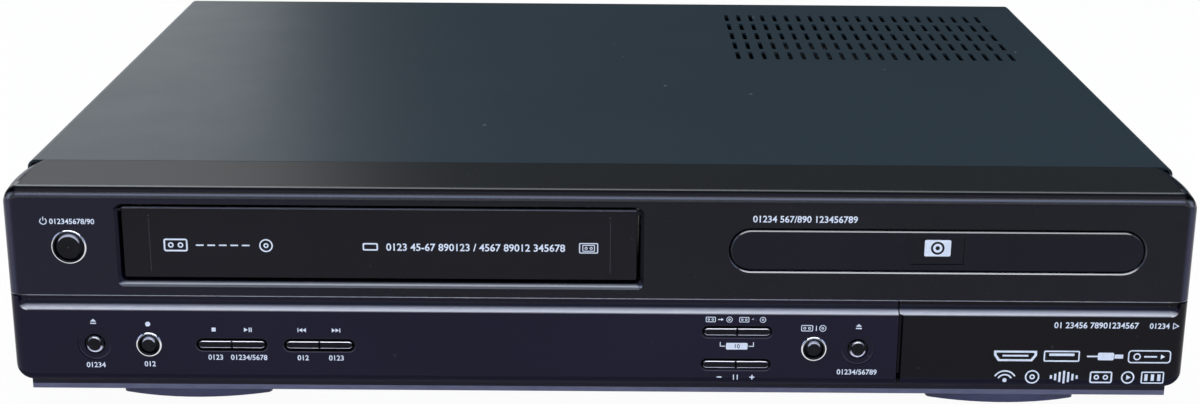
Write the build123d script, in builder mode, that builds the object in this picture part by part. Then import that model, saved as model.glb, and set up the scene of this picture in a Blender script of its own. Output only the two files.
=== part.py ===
from build123d import *
import math
import os

# A home recorder with a cassette door and a disc tray, +Z up, front towards -Y, in millimetres.
# X is measured from the middle of the case, Z from the table, and depth from the front face.
# The origin is on the table, under the middle of the whole outline.

# Case
front_width = 435.0
front_flare = 3.5
body_depth = 329.4
cover_top_z = 90.1
cover_sheet = 1.0
cover_bottom_z = 6.6
cover_bend = 3.0
sheet_gap = 0.3
chassis_sheet = 1.2
chassis_z = 5.0
chassis_wall_z = 28.0
chassis_side_gap = 0.1
rear_reach = 10.0
past = 1.0
bite = 0.5

# Plastic front
front_depth = 25.1
front_bottom_z = 11.1
front_top_z = 86.2
front_wall = 2.4
front_edge_radius = 4.5
front_corner_radius = 6.5
front_straight = 6.5
seam_z = 45.4
seam_gap = 0.3
seam_bevel = 0.4
cove_radius = 3.3
cove_top_z = 43.0
cove_end_inset = 3.6
inner_wall_depth = 5.8
inner_wall = 2.0
inner_wall_inset = 6.7
shelf_z = 14.2
shelf_thickness = 1.8
shelf_depth = 20.0
shelf_inset = 4.0
lip_depth = 9.5
lip_top_z = 13.4
lip_clearance = 0.6

# Openings across the front: the margins share out the width that the openings leave
door_width = 188.0
tray_front_width = 151.1
door_side_margin = 43.1
openings_gap = 34.0
tray_side_margin = 18.8

# Flap over the front jacks, on an upright hinge at its left end
flap_width = 106.6
flap_gap = 0.5
flap_side_depth = 14.0
flap_edge_round = 1.2
flap_bottom_clearance = 0.4
hinge_inset = 5.5
hinge_depth = 3.0
barrel_radius = 2.6
flap_pin_radius = 0.75
pin_clearance = 0.05
ear_radius = 1.75
pocket_z = 13.5
pocket_top_z = 16.7
pocket_skin = 1.0
pocket_clearance = 1.2
swing_clearance = 0.25
bay_side_clearance = 0.8
bay_right_inset = 12.5
bay_top_z = 41.0
bay_depth = 14.0

# Cassette door, hinged along its top
door_bottom_z = 52.2
door_height = 27.1
door_thickness = 2.2
door_depth = 1.6
door_gap = 1.2
door_top_gap = 1.0
door_corner = 1.0
door_bevel = 0.3
door_hinge_drop = 1.2
door_pin_radius = 0.8
door_pin_end_gap = 0.4
mouth_corner = 2.0
mouth_rim = 1.2
mouth_rim_top = 0.6
mouth_rim_bottom = 2.2
throat_wall = 2.0
throat_depth = 10.0

# Disc tray and its front
tray_front_height = 15.3
tray_front_z = 64.75
tray_front_thickness = 2.6
tray_front_gap = 0.4
tray_front_bevel = 0.5
tray_rim_bevel = 0.6
badge_width = 19.5
badge_height = 10.2
badge_recess = 0.5
badge_rise = 0.0
plate_width = 10.1
plate_height = 6.7
plate_rise = 0.9
plate_setback = 0.1
disc_diameter = 120.0
disc_clearance = 1.5
small_disc_diameter = 80.0
small_disc_recess = 0.8
disc_depth = 78.0
tray_edge = 3.5
tray_length = 165.4
tray_top_z = 66.5
tray_skirt_z = 59.5
tray_floor = 2.0
tray_well_depth = 2.0
tray_skirt = 3.0
tray_slot_width = 36.0
tray_slot_end = 142.0
runner_width = 5.9
runner_bottom_z = 60.0
runner_top_z = 64.0
runner_start = 12.0
rack_inset = 9.0
rack_start = 9.0
rack_back = (4.5, 1.2)
rack_z = (56.8, 59.2)
rack_pitch = math.pi
tooth_width = 0.38 * rack_pitch
tooth_height = 0.95
tooth_root = 1.3
pinion_teeth = 20
pinion_depth = 24.0
pinion_z = (56.9, 59.0)
pinion_pin_radius = 1.5
pinion_collar_radius = 4.0
pinion_root_depth = 1.25

# Keys: the standby key stands at a share of the way from the left side to the cassette throat
cap_reach = 0.8
plain_cap_reach = 0.6
cap_shoulder = 0.4
cap_round = 1.2
cap_inset = 0.9
cap_crown = 0.15
ring_flange = 0.5
ring_hole_margin = 0.5
ring_sleeve_clearance = 0.05
ring_sleeve_end = 0.3
key_gap = 0.2
key_flange = 0.8
key_flange_margin = 1.0
key_travel = 0.8
key_rest_gap = 0.05
stem_radius = 1.5
stem_clearance = 0.08
bar_height = 2.8
bar_half_length = 12.2
bar_split = 0.3
bar_recess = 1.5
bar_recess_margin = 1.0
bar_reach = 0.2
bar_round = 0.6
bar_flange_inset = 1.2
dish_depth = 0.5
dish_margin = 2.3
plain_hole = 7.8
standby_share = 0.5965
standby_z = 64.3
standby_ring = 13.0
standby_cap = 10.0
standby_wall_rise = 9.5
small_ring = 9.6
small_cap = 6.4
eject_inset = 30.6
record_inset = 50.7
stop_pair_inset = 81.4
rewind_pair_inset = 113.8
round_key_z = 26.4
transport_pair_z = 26.6
open_to_flap = 15.1
source_to_flap = 31.4
copy_to_flap = 60.0
channel_to_flap = 60.2
copy_pair_z = 32.9
channel_pair_z = 20.0

# Key board, switches and display
board_depth = 12.0
board_thickness = 1.6
key_board_inset = 9.5
key_board_to_flap = 2.9
key_board_rise = 0.3
key_board_top_z = 44.0
board_arm_reach = 12.0
board_arm_rise = 9.0
board_boss_radius = 2.0
board_hole_radius = 1.1
switch_body = 6.0
switch_height = 3.5
plunger_radius = 1.7
plunger_height = 0.3
display_left_gap = 16.5
display_right_gap = 13.5
display_z = 26.5
display_height = 19.0
display_thickness = 5.0
display_bevel = 0.6
display_window_margin = 1.0

# Front jacks: a face plate with three phono jacks, a round video jack and two data sockets
jack_plate = 2.0
jack_plate_start = 16.0
jack_plate_gap = 1.0
jack_body_depth = 12.0
jack_row_z = 29.0
first_jack_offset = 25.1
front_jack_pitch = 14.0
phono_shell_radius = 4.15
phono_pin_radius = 1.6
phono_reach = 7.0
phono_bore_depth = 5.0
video_jack_offset = 66.1
video_shell_radius = 6.0
video_bore_radius = 4.7
video_core_radius = 3.9
video_core_back = 0.5
data_jack_offset = 79.1
usb_size = (13.2, 5.8)
usb_tongue = (11.6, 2.0)
link_z = 20.5
link_size = (6.6, 4.4)
link_tongue = (3.6, 1.2)
data_bore_depth = 9.0
tongue_back = 0.8
jack_body_margin = (6.0, 9.0)
jack_body_rise = 6.0
jack_body_drop = 4.0
jack_board = (9.0, 12.0)
jack_board_sheet = 1.6
jack_board_reach = 20.0

# Top cover's vents and the case's screws
vent_columns = 22
vent_rows = 5
vent_pitch_x = 6.04
vent_pitch_y = 21.3
vent_right_inset = 90.25
vent_rear_inset = 77.3
vent_length = 15.0
vent_width = 2.0
rear_flange_z = 79.5
rear_flange_inset = 8.0
side_screw_front = 60.0
side_screw_rear_inset = 39.4
side_screw_z = 18.0
rear_screw_inset = 24.0
rear_screw_z = 84.6
screw_radius = 1.75
screw_head_radius = 3.6
screw_head = 1.7
screw_slot = (4.8, 0.7, 0.8)
screw_length = 6.5
screw_clearance = 0.35
thread_clearance = 0.05

# Boards on the chassis, and the parts that stand on them
board_z = 12.0
board_sheet = 1.6
standoff_radius = 3.0
corner_inset = 7.0
chassis_wall_front = 3.0
chassis_wall_rear = 3.0
slot_columns = 9
slot_rows = 2
slot_pitch = (8.0, 30.0)
floor_slot = (20.0, 3.0)
floor_slot_offsets = (66.0, 130.0)
floor_slot_rear_inset = 54.4
power_board_inset = 11.5
power_board_width = 128.0
power_board_gap = 14.0
power_board_rear_inset = 9.4
boards_gap = 8.0
main_board_inset = 12.5
main_board_gap = 34.0
main_board_rear_inset = 7.4
# Each can: x and depth from the power board's corner, radius, top
power_cans = [(94.0, 26.0, 11.0, 48.0), (10.0, 26.0, 5.0, 34.0), (116.0, 12.0, 5.0, 30.0)]
# Each heat sink or filter: x span and depth span from the same corner, top
power_blocks = [((74.0, 78.0), (4.0, 32.0), 44.0), ((110.0, 114.0), (22.0, 46.0), 26.0),
                ((2.0, 20.0), (2.0, 12.0), 26.0)]
transformer_core = ((32.0, 72.0), (8.0, 42.0))
transformer_winding = ((36.0, 68.0), (4.0, 46.0))
transformer_top_z = 42.0
winding_top_z = 36.0
core_rise = 3.0
core_bevel = 1.2
# Each chip: x and depth from the main board's corner, size, height
chips = [(80.0, 34.0, 28.0, 2.4), (118.0, 28.0, 18.0, 1.8), (34.0, 32.0, 22.0, 2.0),
         (138.0, 12.0, 12.0, 1.6), (138.0, 34.0, 10.0, 1.4), (84.0, 10.0, 12.0, 1.4)]
sink_fins = 7
sink_fin_pitch = 4.5
sink_fin_width = 2.0
sink_first_fin = 66.5
sink_x = (64.0, 96.0)
sink_depth = (22.0, 46.0)
sink_base = 2.0
sink_top = 12.0

# Rear panel and its sockets, in a row from the main board's left edge
panel_floor_gap = 0.2
panel_gap = 0.2
panel_flange = 8.0
panel_flange_inset = 4.0
scart_offset = 32.0
scart_z = (25.5, 49.5)
scart_size = (54.0, 18.0)
scart_depth = 22.0
scart_shell = (47.0, 12.8)
scart_shell_wall = 1.0
scart_core = (39.8, 5.4)
scart_mouth_depth = 8.0
scart_face_reach = 1.0
jack_panel_to_scart = 66.0
jack_panel_size = (58.0, 44.0)
jack_panel_depth = 12.0
jack_panel_z = 36.0
rear_jack_columns = 4
rear_jack_pitch = 14.0
rear_jack_rows = (22.0, 36.0, 50.0)
rear_jack_reach = 8.3
rear_jack_hole_margin = 1.2
digital_to_jacks = 46.0
digital_z = 18.5
digital_size = (15.4, 6.4)
digital_depth = 12.0
digital_reach = 0.6
digital_wall = (0.7, 0.8)
digital_bore_depth = 9.0
digital_tongue = (11.0, 1.1)
tuner_to_digital = 9.0
tuner_width = 72.0
tuner_length = 44.0
tuner_rear_gap = 22.4
tuner_top_z = 75.0
tuner_bevel = 1.0
tuner_slots = (6, 2)
tuner_slot_pitch = (9.0, 20.0)
tuner_slot = (8.0, 3.0)
tuner_slot_depth = 1.5
aerial_offset = 37.0
aerial_z = (28.0, 52.0)
aerial_radius = 4.75
aerial_collar = 2.2
aerial_collar_gap = 4.0
aerial_wall = 0.9
aerial_core_radius = 2.0
aerial_core_back = 2.0
aerial_hole_margin = 1.0
inlet_offset = 18.0
inlet_z = 26.0
inlet_size = (27.0, 18.0)
inlet_depth = 18.0
inlet_reach = 1.4
inlet_socket = (17.6, 7.8)
inlet_socket_depth = 12.0
inlet_pin_spacing = 8.6
inlet_pin_radius = 1.2
inlet_pin_back = 2.0

# Fan behind the rear grille
fan_offset = 76.0
fan_z = 50.0
fan_size = 40.0
fan_corner = 3.0
fan_depth = 10.0
fan_bore_radius = 18.6
fan_screw_spacing = 32.0
fan_strut = (2.4, 1.5)
rotor_radius = 17.8
hub_radius = 8.0
fan_pin_radius = 1.5
fan_pin_end = 1.5
rotor_front_gap = 0.4
rotor_rear_gap = 0.8
rotor_bore_end = 1.3
fan_blades = 7
blade_size = (9.8, 6.2)
blade_sink = 0.6
blade_thickness = 1.0
blade_tilt = 50.0
grille_pitch = 4.0
grille_slot = 2.2
grille_rows = 9
grille_margin = 0.5

# Feet: bowed moulded feet under the front and the rear edge, each with a rubber pad let into it
foot_bottom_z = 1.2
foot_length = 56.2
foot_reach = 24.0
foot_bow_radius = 74.0
foot_corner = 2.5
foot_side_inset = 64.5
foot_front_setback = 1.0
foot_rear_inset = 12.0
pad_inset = 3.5
pad_clearance = 0.2
pad_seat = 1.0

# Cassette deck
deck_side_margin = 3.0
deck_depths = (30.0, 222.0)
deck_z = 22.0
deck_sheet = 1.5
deck_post_radius = 4.0
deck_post_inset = 8.0
reel_spacing = 92.0
reel_depth = 84.0
reel_post_radius = 2.0
reel_post_top_z = 37.0
reel_base_radius = 21.0
reel_base = 3.0
reel_step = 6.0
reel_hub_radius = 5.5
reel_hub_start = 5.0
reel_fins = 3
reel_fin = (4.5, 2.0)
reel_fin_offset = 6.0
reel_fin_drop = 1.5
reel_lift = 0.4
reel_top_z = 36.0
capstan_offset = 48.0
capstan_depth = 150.0
capstan_radius = 1.5
capstan_top_z = 50.0
capstan_bush_radius = 4.0
capstan_bush_z = (14.6, 25.4)
flywheel_radius = 23.0
flywheel_z = (9.0, 14.2)
flywheel_rim = 4.0
flywheel_web = 1.5
flywheel_boss_radius = 3.5
flywheel_boss_drop = 2.3
roller_radius = 7.0
roller_gap = 0.3
roller_round = 0.5
roller_z = (28.3, 41.0)
pinch_arm_length = 27.0
pinch_swing = 35.0
pinch_pivot_radius = 2.0
pinch_pivot_top_z = 31.0
pinch_boss_radius = 4.5
pinch_boss_top_z = 30.0
pinch_arm_width = 8.0
arm_z = (26.2, 28.0)
drum_depth = 178.0
drum_radius = 31.0
drum_tilt = 5.9
drum_base_height = 17.0
drum_head_height = 19.0
drum_gap = 0.3
drum_cap_rise = 1.5
drum_origin_z = 31.0
drum_shaft_radius = 3.0
drum_rim = 6.0
drum_window = 3.0
drum_windows = 4
drum_plate_half = 34.0
drum_plate = 3.0
guide_post_radius = 2.0
guide_post_top_z = 44.0
guide_cap_margin = 1.2
guide_cap = 1.5
guide_posts = [(-62.0, 136.0), (-52.0, 141.0), (70.0, 141.0)]
carrier_side_margin = 1.2
carrier_sheet = 1.2
carrier_depths = (32.0, 136.0)
carrier_bottom_z = 51.4
carrier_top_z = 81.0
carrier_ledge = 14.0
carrier_drop = 26.5
carrier_pin_radius = 1.9
carrier_pin_clearance = 0.1
carrier_pin_reach = 0.4
carrier_pin_z = 66.0
carrier_pin_depths = (50.0, 118.0)
carrier_window = ((-60.0, 60.0), (60.0, 110.0))
housing_gap = 0.8
housing_top_z = 84.0
housing_bridges = ((31.0, 43.0), (112.0, 138.0))

# Disc drive
drive_side_margin = 8.0
drive_wall = 1.5
drive_depths = (14.0, 194.0)
drive_floor_z = 43.0
drive_floor = 1.5
drive_wall_z = 73.0
drive_back_z = 56.0
drive_window_half = 36.0
drive_window_depths = (68.0, 168.0)
drive_leg_radius = 4.0
drive_leg_inset = 5.0
drive_front_leg_depth = 46.0
drive_rear_leg_inset = 6.0
rail_gap = 1.2
rail_clearance = 0.2
rail_thickness = 1.5
rail_overrun = 4.0
bridge_z = (71.5, 73.0)
bridge_half_depth = 22.0
clamp_hole_radius = 15.5
clamp_flange = 3.5
clamp_hole_gap = 0.9
clamp_flange_z = (73.2, 74.4)
clamp_bottom_z = 69.0
clamp_foot_z = 69.4
drive_cover_z = 50.0
drive_cover_top_z = 79.0
drive_cover_gap = 0.2
drive_sheet = 0.8
stamp_size = (110.0, 130.0)
stamp_line = 3.0
stamp_corner = 12.0
stamp_depth = 0.3
stamp_setback = 10.0
traverse_z = (46.5, 49.5)
traverse_half_width = 42.0
traverse_depths = (56.0, 180.0)
traverse_window_margin = 1.5
traverse_window_depths = (97.0, 171.0)
traverse_foot_radius = 3.0
traverse_foot_inset = 4.0
traverse_foot_setback = 5.0
traverse_rest_gap = 0.3
spindle_can_radius = 14.0
spindle_can_top_z = 54.0
turntable_radius = 13.0
turntable_z = (54.3, 58.5)
hub_cone_radius = 7.4
hub_cone_taper = 12.0
hub_top_z = 61.8
spindle_radius = 1.5
spindle_lift = 1.3
sled_rod_radius = 1.5
sled_rod_x = 28.0
sled_rod_z = 52.0
sled_rod_depths = (92.5, 177.5)
rod_block = 3.0
rod_block_half = 4.0
rod_block_top_z = 54.4
rod_seat = 0.6
sled_half_width = 32.0
sled_depths = (97.0, 125.0)
sled_z = (49.9, 55.0)
sled_bevel = 2.0
lens_depth = 102.0
lens_radius = 2.8
lens_rise = 2.2
lens_round = 0.7
actuator_half = 8.0
actuator_span = (-4.0, 12.0)
actuator_rise = 1.2

# Worked out from the sizes above: the case and the front
case_width = front_width - 2 * front_flare
front_y = -(body_depth + rear_reach - cap_reach) / 2
half_front = front_width / 2
half_case = case_width / 2
half_chassis = half_case - chassis_side_gap
wall_outer = half_case - cover_sheet - sheet_gap
floor_top_z = chassis_z + chassis_sheet
cover_front_depth = front_depth + sheet_gap
rear_panel_depth = body_depth - cover_sheet
socket_front = rear_panel_depth - cover_sheet
lower_top_z = seam_z - seam_gap
inner_half_width = half_front - inner_wall_inset
inner_wall_rear = inner_wall_depth + inner_wall
cove_half_width = half_front - cove_end_inset
backing_depth = cove_radius + front_wall - 0.1
flange_depth = front_wall + 0.1

# The openings, the flap and the keys across the front
margin_scale = (front_width - door_width - tray_front_width) / (
    door_side_margin + openings_gap + tray_side_margin)
door_x = -half_front + door_side_margin * margin_scale + door_width / 2
door_hinge_z = door_bottom_z + door_height - door_hinge_drop
door_hinge_depth = door_depth + door_thickness / 2
mouth_bottom_z = door_bottom_z - door_gap
mouth_top_z = door_bottom_z + door_height + door_top_gap
mouth_width = door_width + 2 * door_gap
mouth_height = mouth_top_z - mouth_bottom_z
mouth_z = (mouth_top_z + mouth_bottom_z) / 2
throat_outer = mouth_width / 2 + throat_wall
tray_x = half_front - tray_side_margin * margin_scale - tray_front_width / 2
tray_opening_width = tray_front_width + 2 * tray_front_gap
tray_opening_height = tray_front_height + 2 * tray_front_gap
flap_left_x = half_front - flap_width
fascia_right_x = flap_left_x - flap_gap
hinge_x = flap_left_x + hinge_inset
swing_radius = math.hypot(hinge_inset, hinge_depth) + swing_clearance
bay_left_x = fascia_right_x - bay_side_clearance
bay_right_x = half_front - bay_right_inset
swing_right_x = hinge_x + barrel_radius + 1.2
standby_x = -half_front + standby_share * (half_front + door_x - throat_outer)
standby_wall_top = standby_z + standby_wall_rise

# Each round key: name, x, z, cap diameter, ring diameter, or None for a key in a plain dished hole
round_keys = [
    ("standby_key", standby_x, standby_z, standby_cap, standby_ring),
    ("eject_key", -half_front + eject_inset, round_key_z, small_cap, None),
    ("record_key", -half_front + record_inset, round_key_z, small_cap, small_ring),
    ("source_key", flap_left_x - source_to_flap, round_key_z, small_cap, small_ring),
    ("open_close_key", flap_left_x - open_to_flap, round_key_z, small_cap, None),
]
# Each pair of bar keys: x of the split, z, then the left and the right name
stop_pair_x = -half_front + stop_pair_inset
rewind_pair_x = -half_front + rewind_pair_inset
copy_pair_x = flap_left_x - copy_to_flap
channel_pair_x = flap_left_x - channel_to_flap
bar_pairs = [
    (stop_pair_x, transport_pair_z, "stop_key", "play_key"),
    (rewind_pair_x, transport_pair_z, "rewind_key", "forward_key"),
    (copy_pair_x, copy_pair_z, "copy_to_disc_key", "copy_to_tape_key"),
    (channel_pair_x, channel_pair_z, "channel_down_key", "channel_up_key"),
]
bar_keys = []
for pair_x, pair_z, left_name, right_name in bar_pairs:
    bar_keys.append((left_name, pair_x - bar_half_length / 2, pair_z, -1, pair_x))
    bar_keys.append((right_name, pair_x + bar_half_length / 2, pair_z, 1, pair_x))
stems = [(x, z) for name, x, z, cap, ring in round_keys]
stems += [(x, z) for name, x, z, side, pair_x in bar_keys]
switch_tip_depth = board_depth - switch_height - plunger_height
stem_tip_depth = switch_tip_depth - key_travel - key_rest_gap
display_x = (rewind_pair_x + bar_half_length + display_left_gap,
             channel_pair_x - bar_half_length - display_right_gap)
key_board_x = (-half_front + key_board_inset, flap_left_x - key_board_to_flap)
key_board_bottom_z = shelf_z + shelf_thickness + key_board_rise
board_bosses = [(key_board_x[0] + 2.0, 20.0), (display_x[0] + 5.0, 40.0), (display_x[1] + 10.0, 40.0),
                (key_board_x[1] - 4.0, 18.0), (key_board_x[1] - 4.0, 38.0)]
phono_jacks_x = [flap_left_x + first_jack_offset + front_jack_pitch * jack for jack in range(3)]
video_jack_x = flap_left_x + video_jack_offset
data_jack_x = flap_left_x + data_jack_offset

# The tray and the drive round it
tray_width = disc_diameter + 2 * disc_clearance + 2 * tray_edge
tray_rear_depth = tray_front_thickness + tray_length
tray_floor_z = tray_top_z - tray_well_depth - tray_floor
rack_line_x = tray_x - tray_width / 2 + rack_inset
pinion_radius = pinion_teeth * rack_pitch / (2 * math.pi)
pinion_x = rack_line_x + pinion_radius
drive_half_width = tray_width / 2 + drive_side_margin

# The boards, the rear row of sockets and the screws
power_board_x = (-half_front + power_board_inset, -half_front + power_board_inset + power_board_width)
power_board_depth = (deck_depths[1] + power_board_gap, body_depth - power_board_rear_inset)
main_board_x = (power_board_x[1] + boards_gap, half_front - main_board_inset)
main_board_depth = (drive_depths[1] + main_board_gap, body_depth - main_board_rear_inset)
parts_z = board_z + board_sheet
scart_x = main_board_x[0] + scart_offset
jack_panel_x = scart_x + jack_panel_to_scart
digital_x = jack_panel_x + digital_to_jacks
tuner_x = (digital_x + tuner_to_digital, digital_x + tuner_to_digital + tuner_width)
tuner_depth = (rear_panel_depth - tuner_rear_gap - tuner_length, rear_panel_depth - tuner_rear_gap)
aerial_x = tuner_x[0] + aerial_offset
inlet_x = power_board_x[0] + inlet_offset
fan_x = power_board_x[0] + fan_offset
fan_front = socket_front - fan_depth
fan_screws = [(corner_x * fan_screw_spacing / 2, corner_z * fan_screw_spacing / 2)
              for corner_x in (-1, 1) for corner_z in (-1, 1)]
rear_jacks = [(jack_panel_x + (column - (rear_jack_columns - 1) / 2) * rear_jack_pitch, row_z)
              for row_z in rear_jack_rows for column in range(rear_jack_columns)]
side_screw_depths = (side_screw_front, body_depth - side_screw_rear_inset)
rear_screws_x = (-half_case + rear_screw_inset, 0.0, half_case - rear_screw_inset)
foot_x = half_front - foot_side_inset
front_foot_depth = lip_depth + foot_front_setback
rear_foot_depth = body_depth - foot_rear_inset

# The cassette deck
deck_half_width = door_width / 2 + deck_side_margin
deck_top_z = deck_z + deck_sheet
carrier_half_width = door_width / 2 + carrier_side_margin
housing_half_width = carrier_half_width + housing_gap + carrier_sheet
reels = [("reel_supply", door_x - reel_spacing / 2), ("reel_takeup", door_x + reel_spacing / 2)]
reel_base_z = deck_top_z + reel_lift
capstan_x = door_x + capstan_offset
pinch_pivot_x = capstan_x + capstan_radius + roller_gap + roller_radius + pinch_arm_length
pinch_rest_angle = 180.0 - pinch_swing
roller_x = pinch_pivot_x + pinch_arm_length * math.cos(math.radians(pinch_rest_angle))
roller_depth = capstan_depth + pinch_arm_length * math.sin(math.radians(pinch_rest_angle))

os.makedirs("parts", exist_ok=True)


def at(depth):
    """The row's Y at a depth behind the front face."""
    return front_y + depth


def middle(span):
    """The middle of a span."""
    return (span[0] + span[1]) / 2


def centred(centre, width):
    """A span of a width round its centre."""
    return (centre - width / 2, centre + width / 2)


def facing(depth):
    """A plane that faces the front, with x to the right and y up, at a depth."""
    return Plane.XZ.offset(-at(depth))


def level(z):
    """A level plane at a height."""
    return Plane.XY.offset(z)


def block(x, depth, z, mode=Mode.ADD):
    """A plain block between two x, two depths and two z, in the part being built."""
    with Locations((middle(x), at(middle(depth)), middle(z))):
        Box(x[1] - x[0], depth[1] - depth[0], z[1] - z[0], mode=mode)


def cuboid(x, depth, z):
    """The same block as a free solid, to be crossed with another."""
    box = Box(x[1] - x[0], depth[1] - depth[0], z[1] - z[0])
    return box.moved(Location((middle(x), at(middle(depth)), middle(z))))


def rod(x, depth, z, radius, axis="Z", mode=Mode.ADD):
    """A round bar along one axis. The axis's own value is a pair, its two ends."""
    if axis == "Z":
        with BuildSketch(Plane(origin=(x, at(depth), z[0]))) as section:
            Circle(radius)
        extrude(section.sketch, amount=z[1] - z[0], mode=mode)
    elif axis == "Y":
        with BuildSketch(Plane(origin=(x, at(depth[0]), z), x_dir=(1, 0, 0), z_dir=(0, 1, 0))) as section:
            Circle(radius)
        extrude(section.sketch, amount=depth[1] - depth[0], mode=mode)
    else:
        with BuildSketch(Plane(origin=(x[0], at(depth), z), x_dir=(0, 1, 0), z_dir=(1, 0, 0))) as section:
            Circle(radius)
        extrude(section.sketch, amount=x[1] - x[0], mode=mode)


def write(piece, name):
    """Labels a finished piece and writes its file."""
    piece.part.label = name
    export_step(piece.part, f"parts/{name}.step")


def front_solid(inset):
    """The rounded outside of the plastic front, drawn in evenly by inset."""
    half = half_front - inset
    rear_half = half_case - inset
    bottom = front_bottom_z + inset
    drop = cover_top_z - front_top_z
    with BuildPart() as solid:
        with BuildSketch(level(bottom)) as plan:
            with BuildLine():
                front_left = (-half, at(inset))
                straight_left = (-half, at(front_straight))
                rear_left = (-rear_half, at(front_depth))
                Line(front_left, straight_left)
                TangentArc(straight_left, rear_left, tangent=(0, 1))
                Line(rear_left, (rear_half, at(front_depth)))
                TangentArc((half, at(front_straight)), (rear_half, at(front_depth)), tangent=(0, 1))
                Line((half, at(front_straight)), (half, at(inset)))
                Line((half, at(inset)), front_left)
            make_face()
        extrude(plan.sketch, amount=cover_top_z - inset - bottom)
        with BuildSketch(Plane.YZ.offset(-front_width)) as ramp:
            with BuildLine():
                Polyline(
                    (at(-past), cover_top_z - inset - drop * (front_depth + past) / front_depth),
                    (at(front_depth), cover_top_z - inset),
                    (at(front_depth), cover_top_z + past),
                    (at(-past), cover_top_z + past),
                    close=True,
                )
            make_face()
        extrude(ramp.sketch, amount=2 * front_width, mode=Mode.SUBTRACT)
        corners = (
            solid.edges()
            .filter_by(lambda edge: edge.bounding_box().size.Y > 0.5)
            .filter_by(lambda edge: edge.bounding_box().size.Z < 2 * drop)
        )
        fillet(corners, radius=front_corner_radius - inset)
        front_face = solid.faces().sort_by(Axis.Y)[0]
        fillet(front_face.edges(), radius=front_edge_radius - inset)
    return solid.part


def cove(start_x, side):
    """The scooped groove along the top of the lower front, from a start out to its rounded end."""
    end_x = side * (cove_half_width - cove_radius)
    low_z = cove_top_z - cove_radius
    with BuildPart() as scoop:
        with BuildSketch(Plane.YZ.offset(min(start_x, end_x))) as section:
            with BuildLine():
                Line((at(-past), low_z), (at(0), low_z))
                RadiusArc((at(0), low_z), (at(cove_radius), cove_top_z), -cove_radius)
                Polyline(
                    (at(cove_radius), cove_top_z),
                    (at(cove_radius), seam_z + past),
                    (at(-past), seam_z + past),
                    (at(-past), low_z),
                )
            make_face()
        extrude(section.sketch, amount=abs(end_x - start_x))
        with BuildSketch(level(cove_top_z)) as end_section:
            with BuildLine():
                tip = (end_x + side * cove_radius, at(0))
                Line((end_x, at(-past)), (end_x + side * cove_radius, at(-past)))
                Line((end_x + side * cove_radius, at(-past)), tip)
                RadiusArc(tip, (end_x, at(cove_radius)), -side * cove_radius)
                Line((end_x, at(cove_radius)), (end_x, at(-past)))
            make_face()
        extrude(end_section.sketch, amount=seam_z + past - cove_top_z)
        revolve(end_section.sketch, axis=Axis((end_x, 0, cove_top_z), (0, side, 0)), revolution_arc=90)
    return scoop.part


def slot_hole(x, z, width, height, depth, mode=Mode.SUBTRACT):
    """A round-ended hole through the front wall, from before the front face to a depth."""
    with BuildSketch(facing(-past)) as hole:
        with Locations((x, z)):
            SlotOverall(width, height)
    extrude(hole.sketch, amount=-(past + depth), mode=mode)


def square_hole(x, z, size, start, end):
    """A square-cornered bore between two depths."""
    block(centred(x, size[0]), (start, end), centred(z, size[1]), mode=Mode.SUBTRACT)


outer_front = front_solid(0)
inner_front = front_solid(front_wall)
left_cove = cove(flap_left_x, -1)
right_cove = cove(fascia_right_x - past, 1)

# Front bezel: the matt upper front, with the frame behind the lower front moulded in one with it
side_filler = outer_front.intersect(
    cuboid((half_front / 2, front_width), (flap_side_depth + seam_gap, front_depth), (0, seam_z + past)))
shelf = outer_front.intersect(
    cuboid((-half_front, half_front), (0, inner_wall_rear), (seam_z, seam_z + shelf_thickness)))
ear_z = (shelf_z, shelf_z + shelf_thickness)

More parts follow.
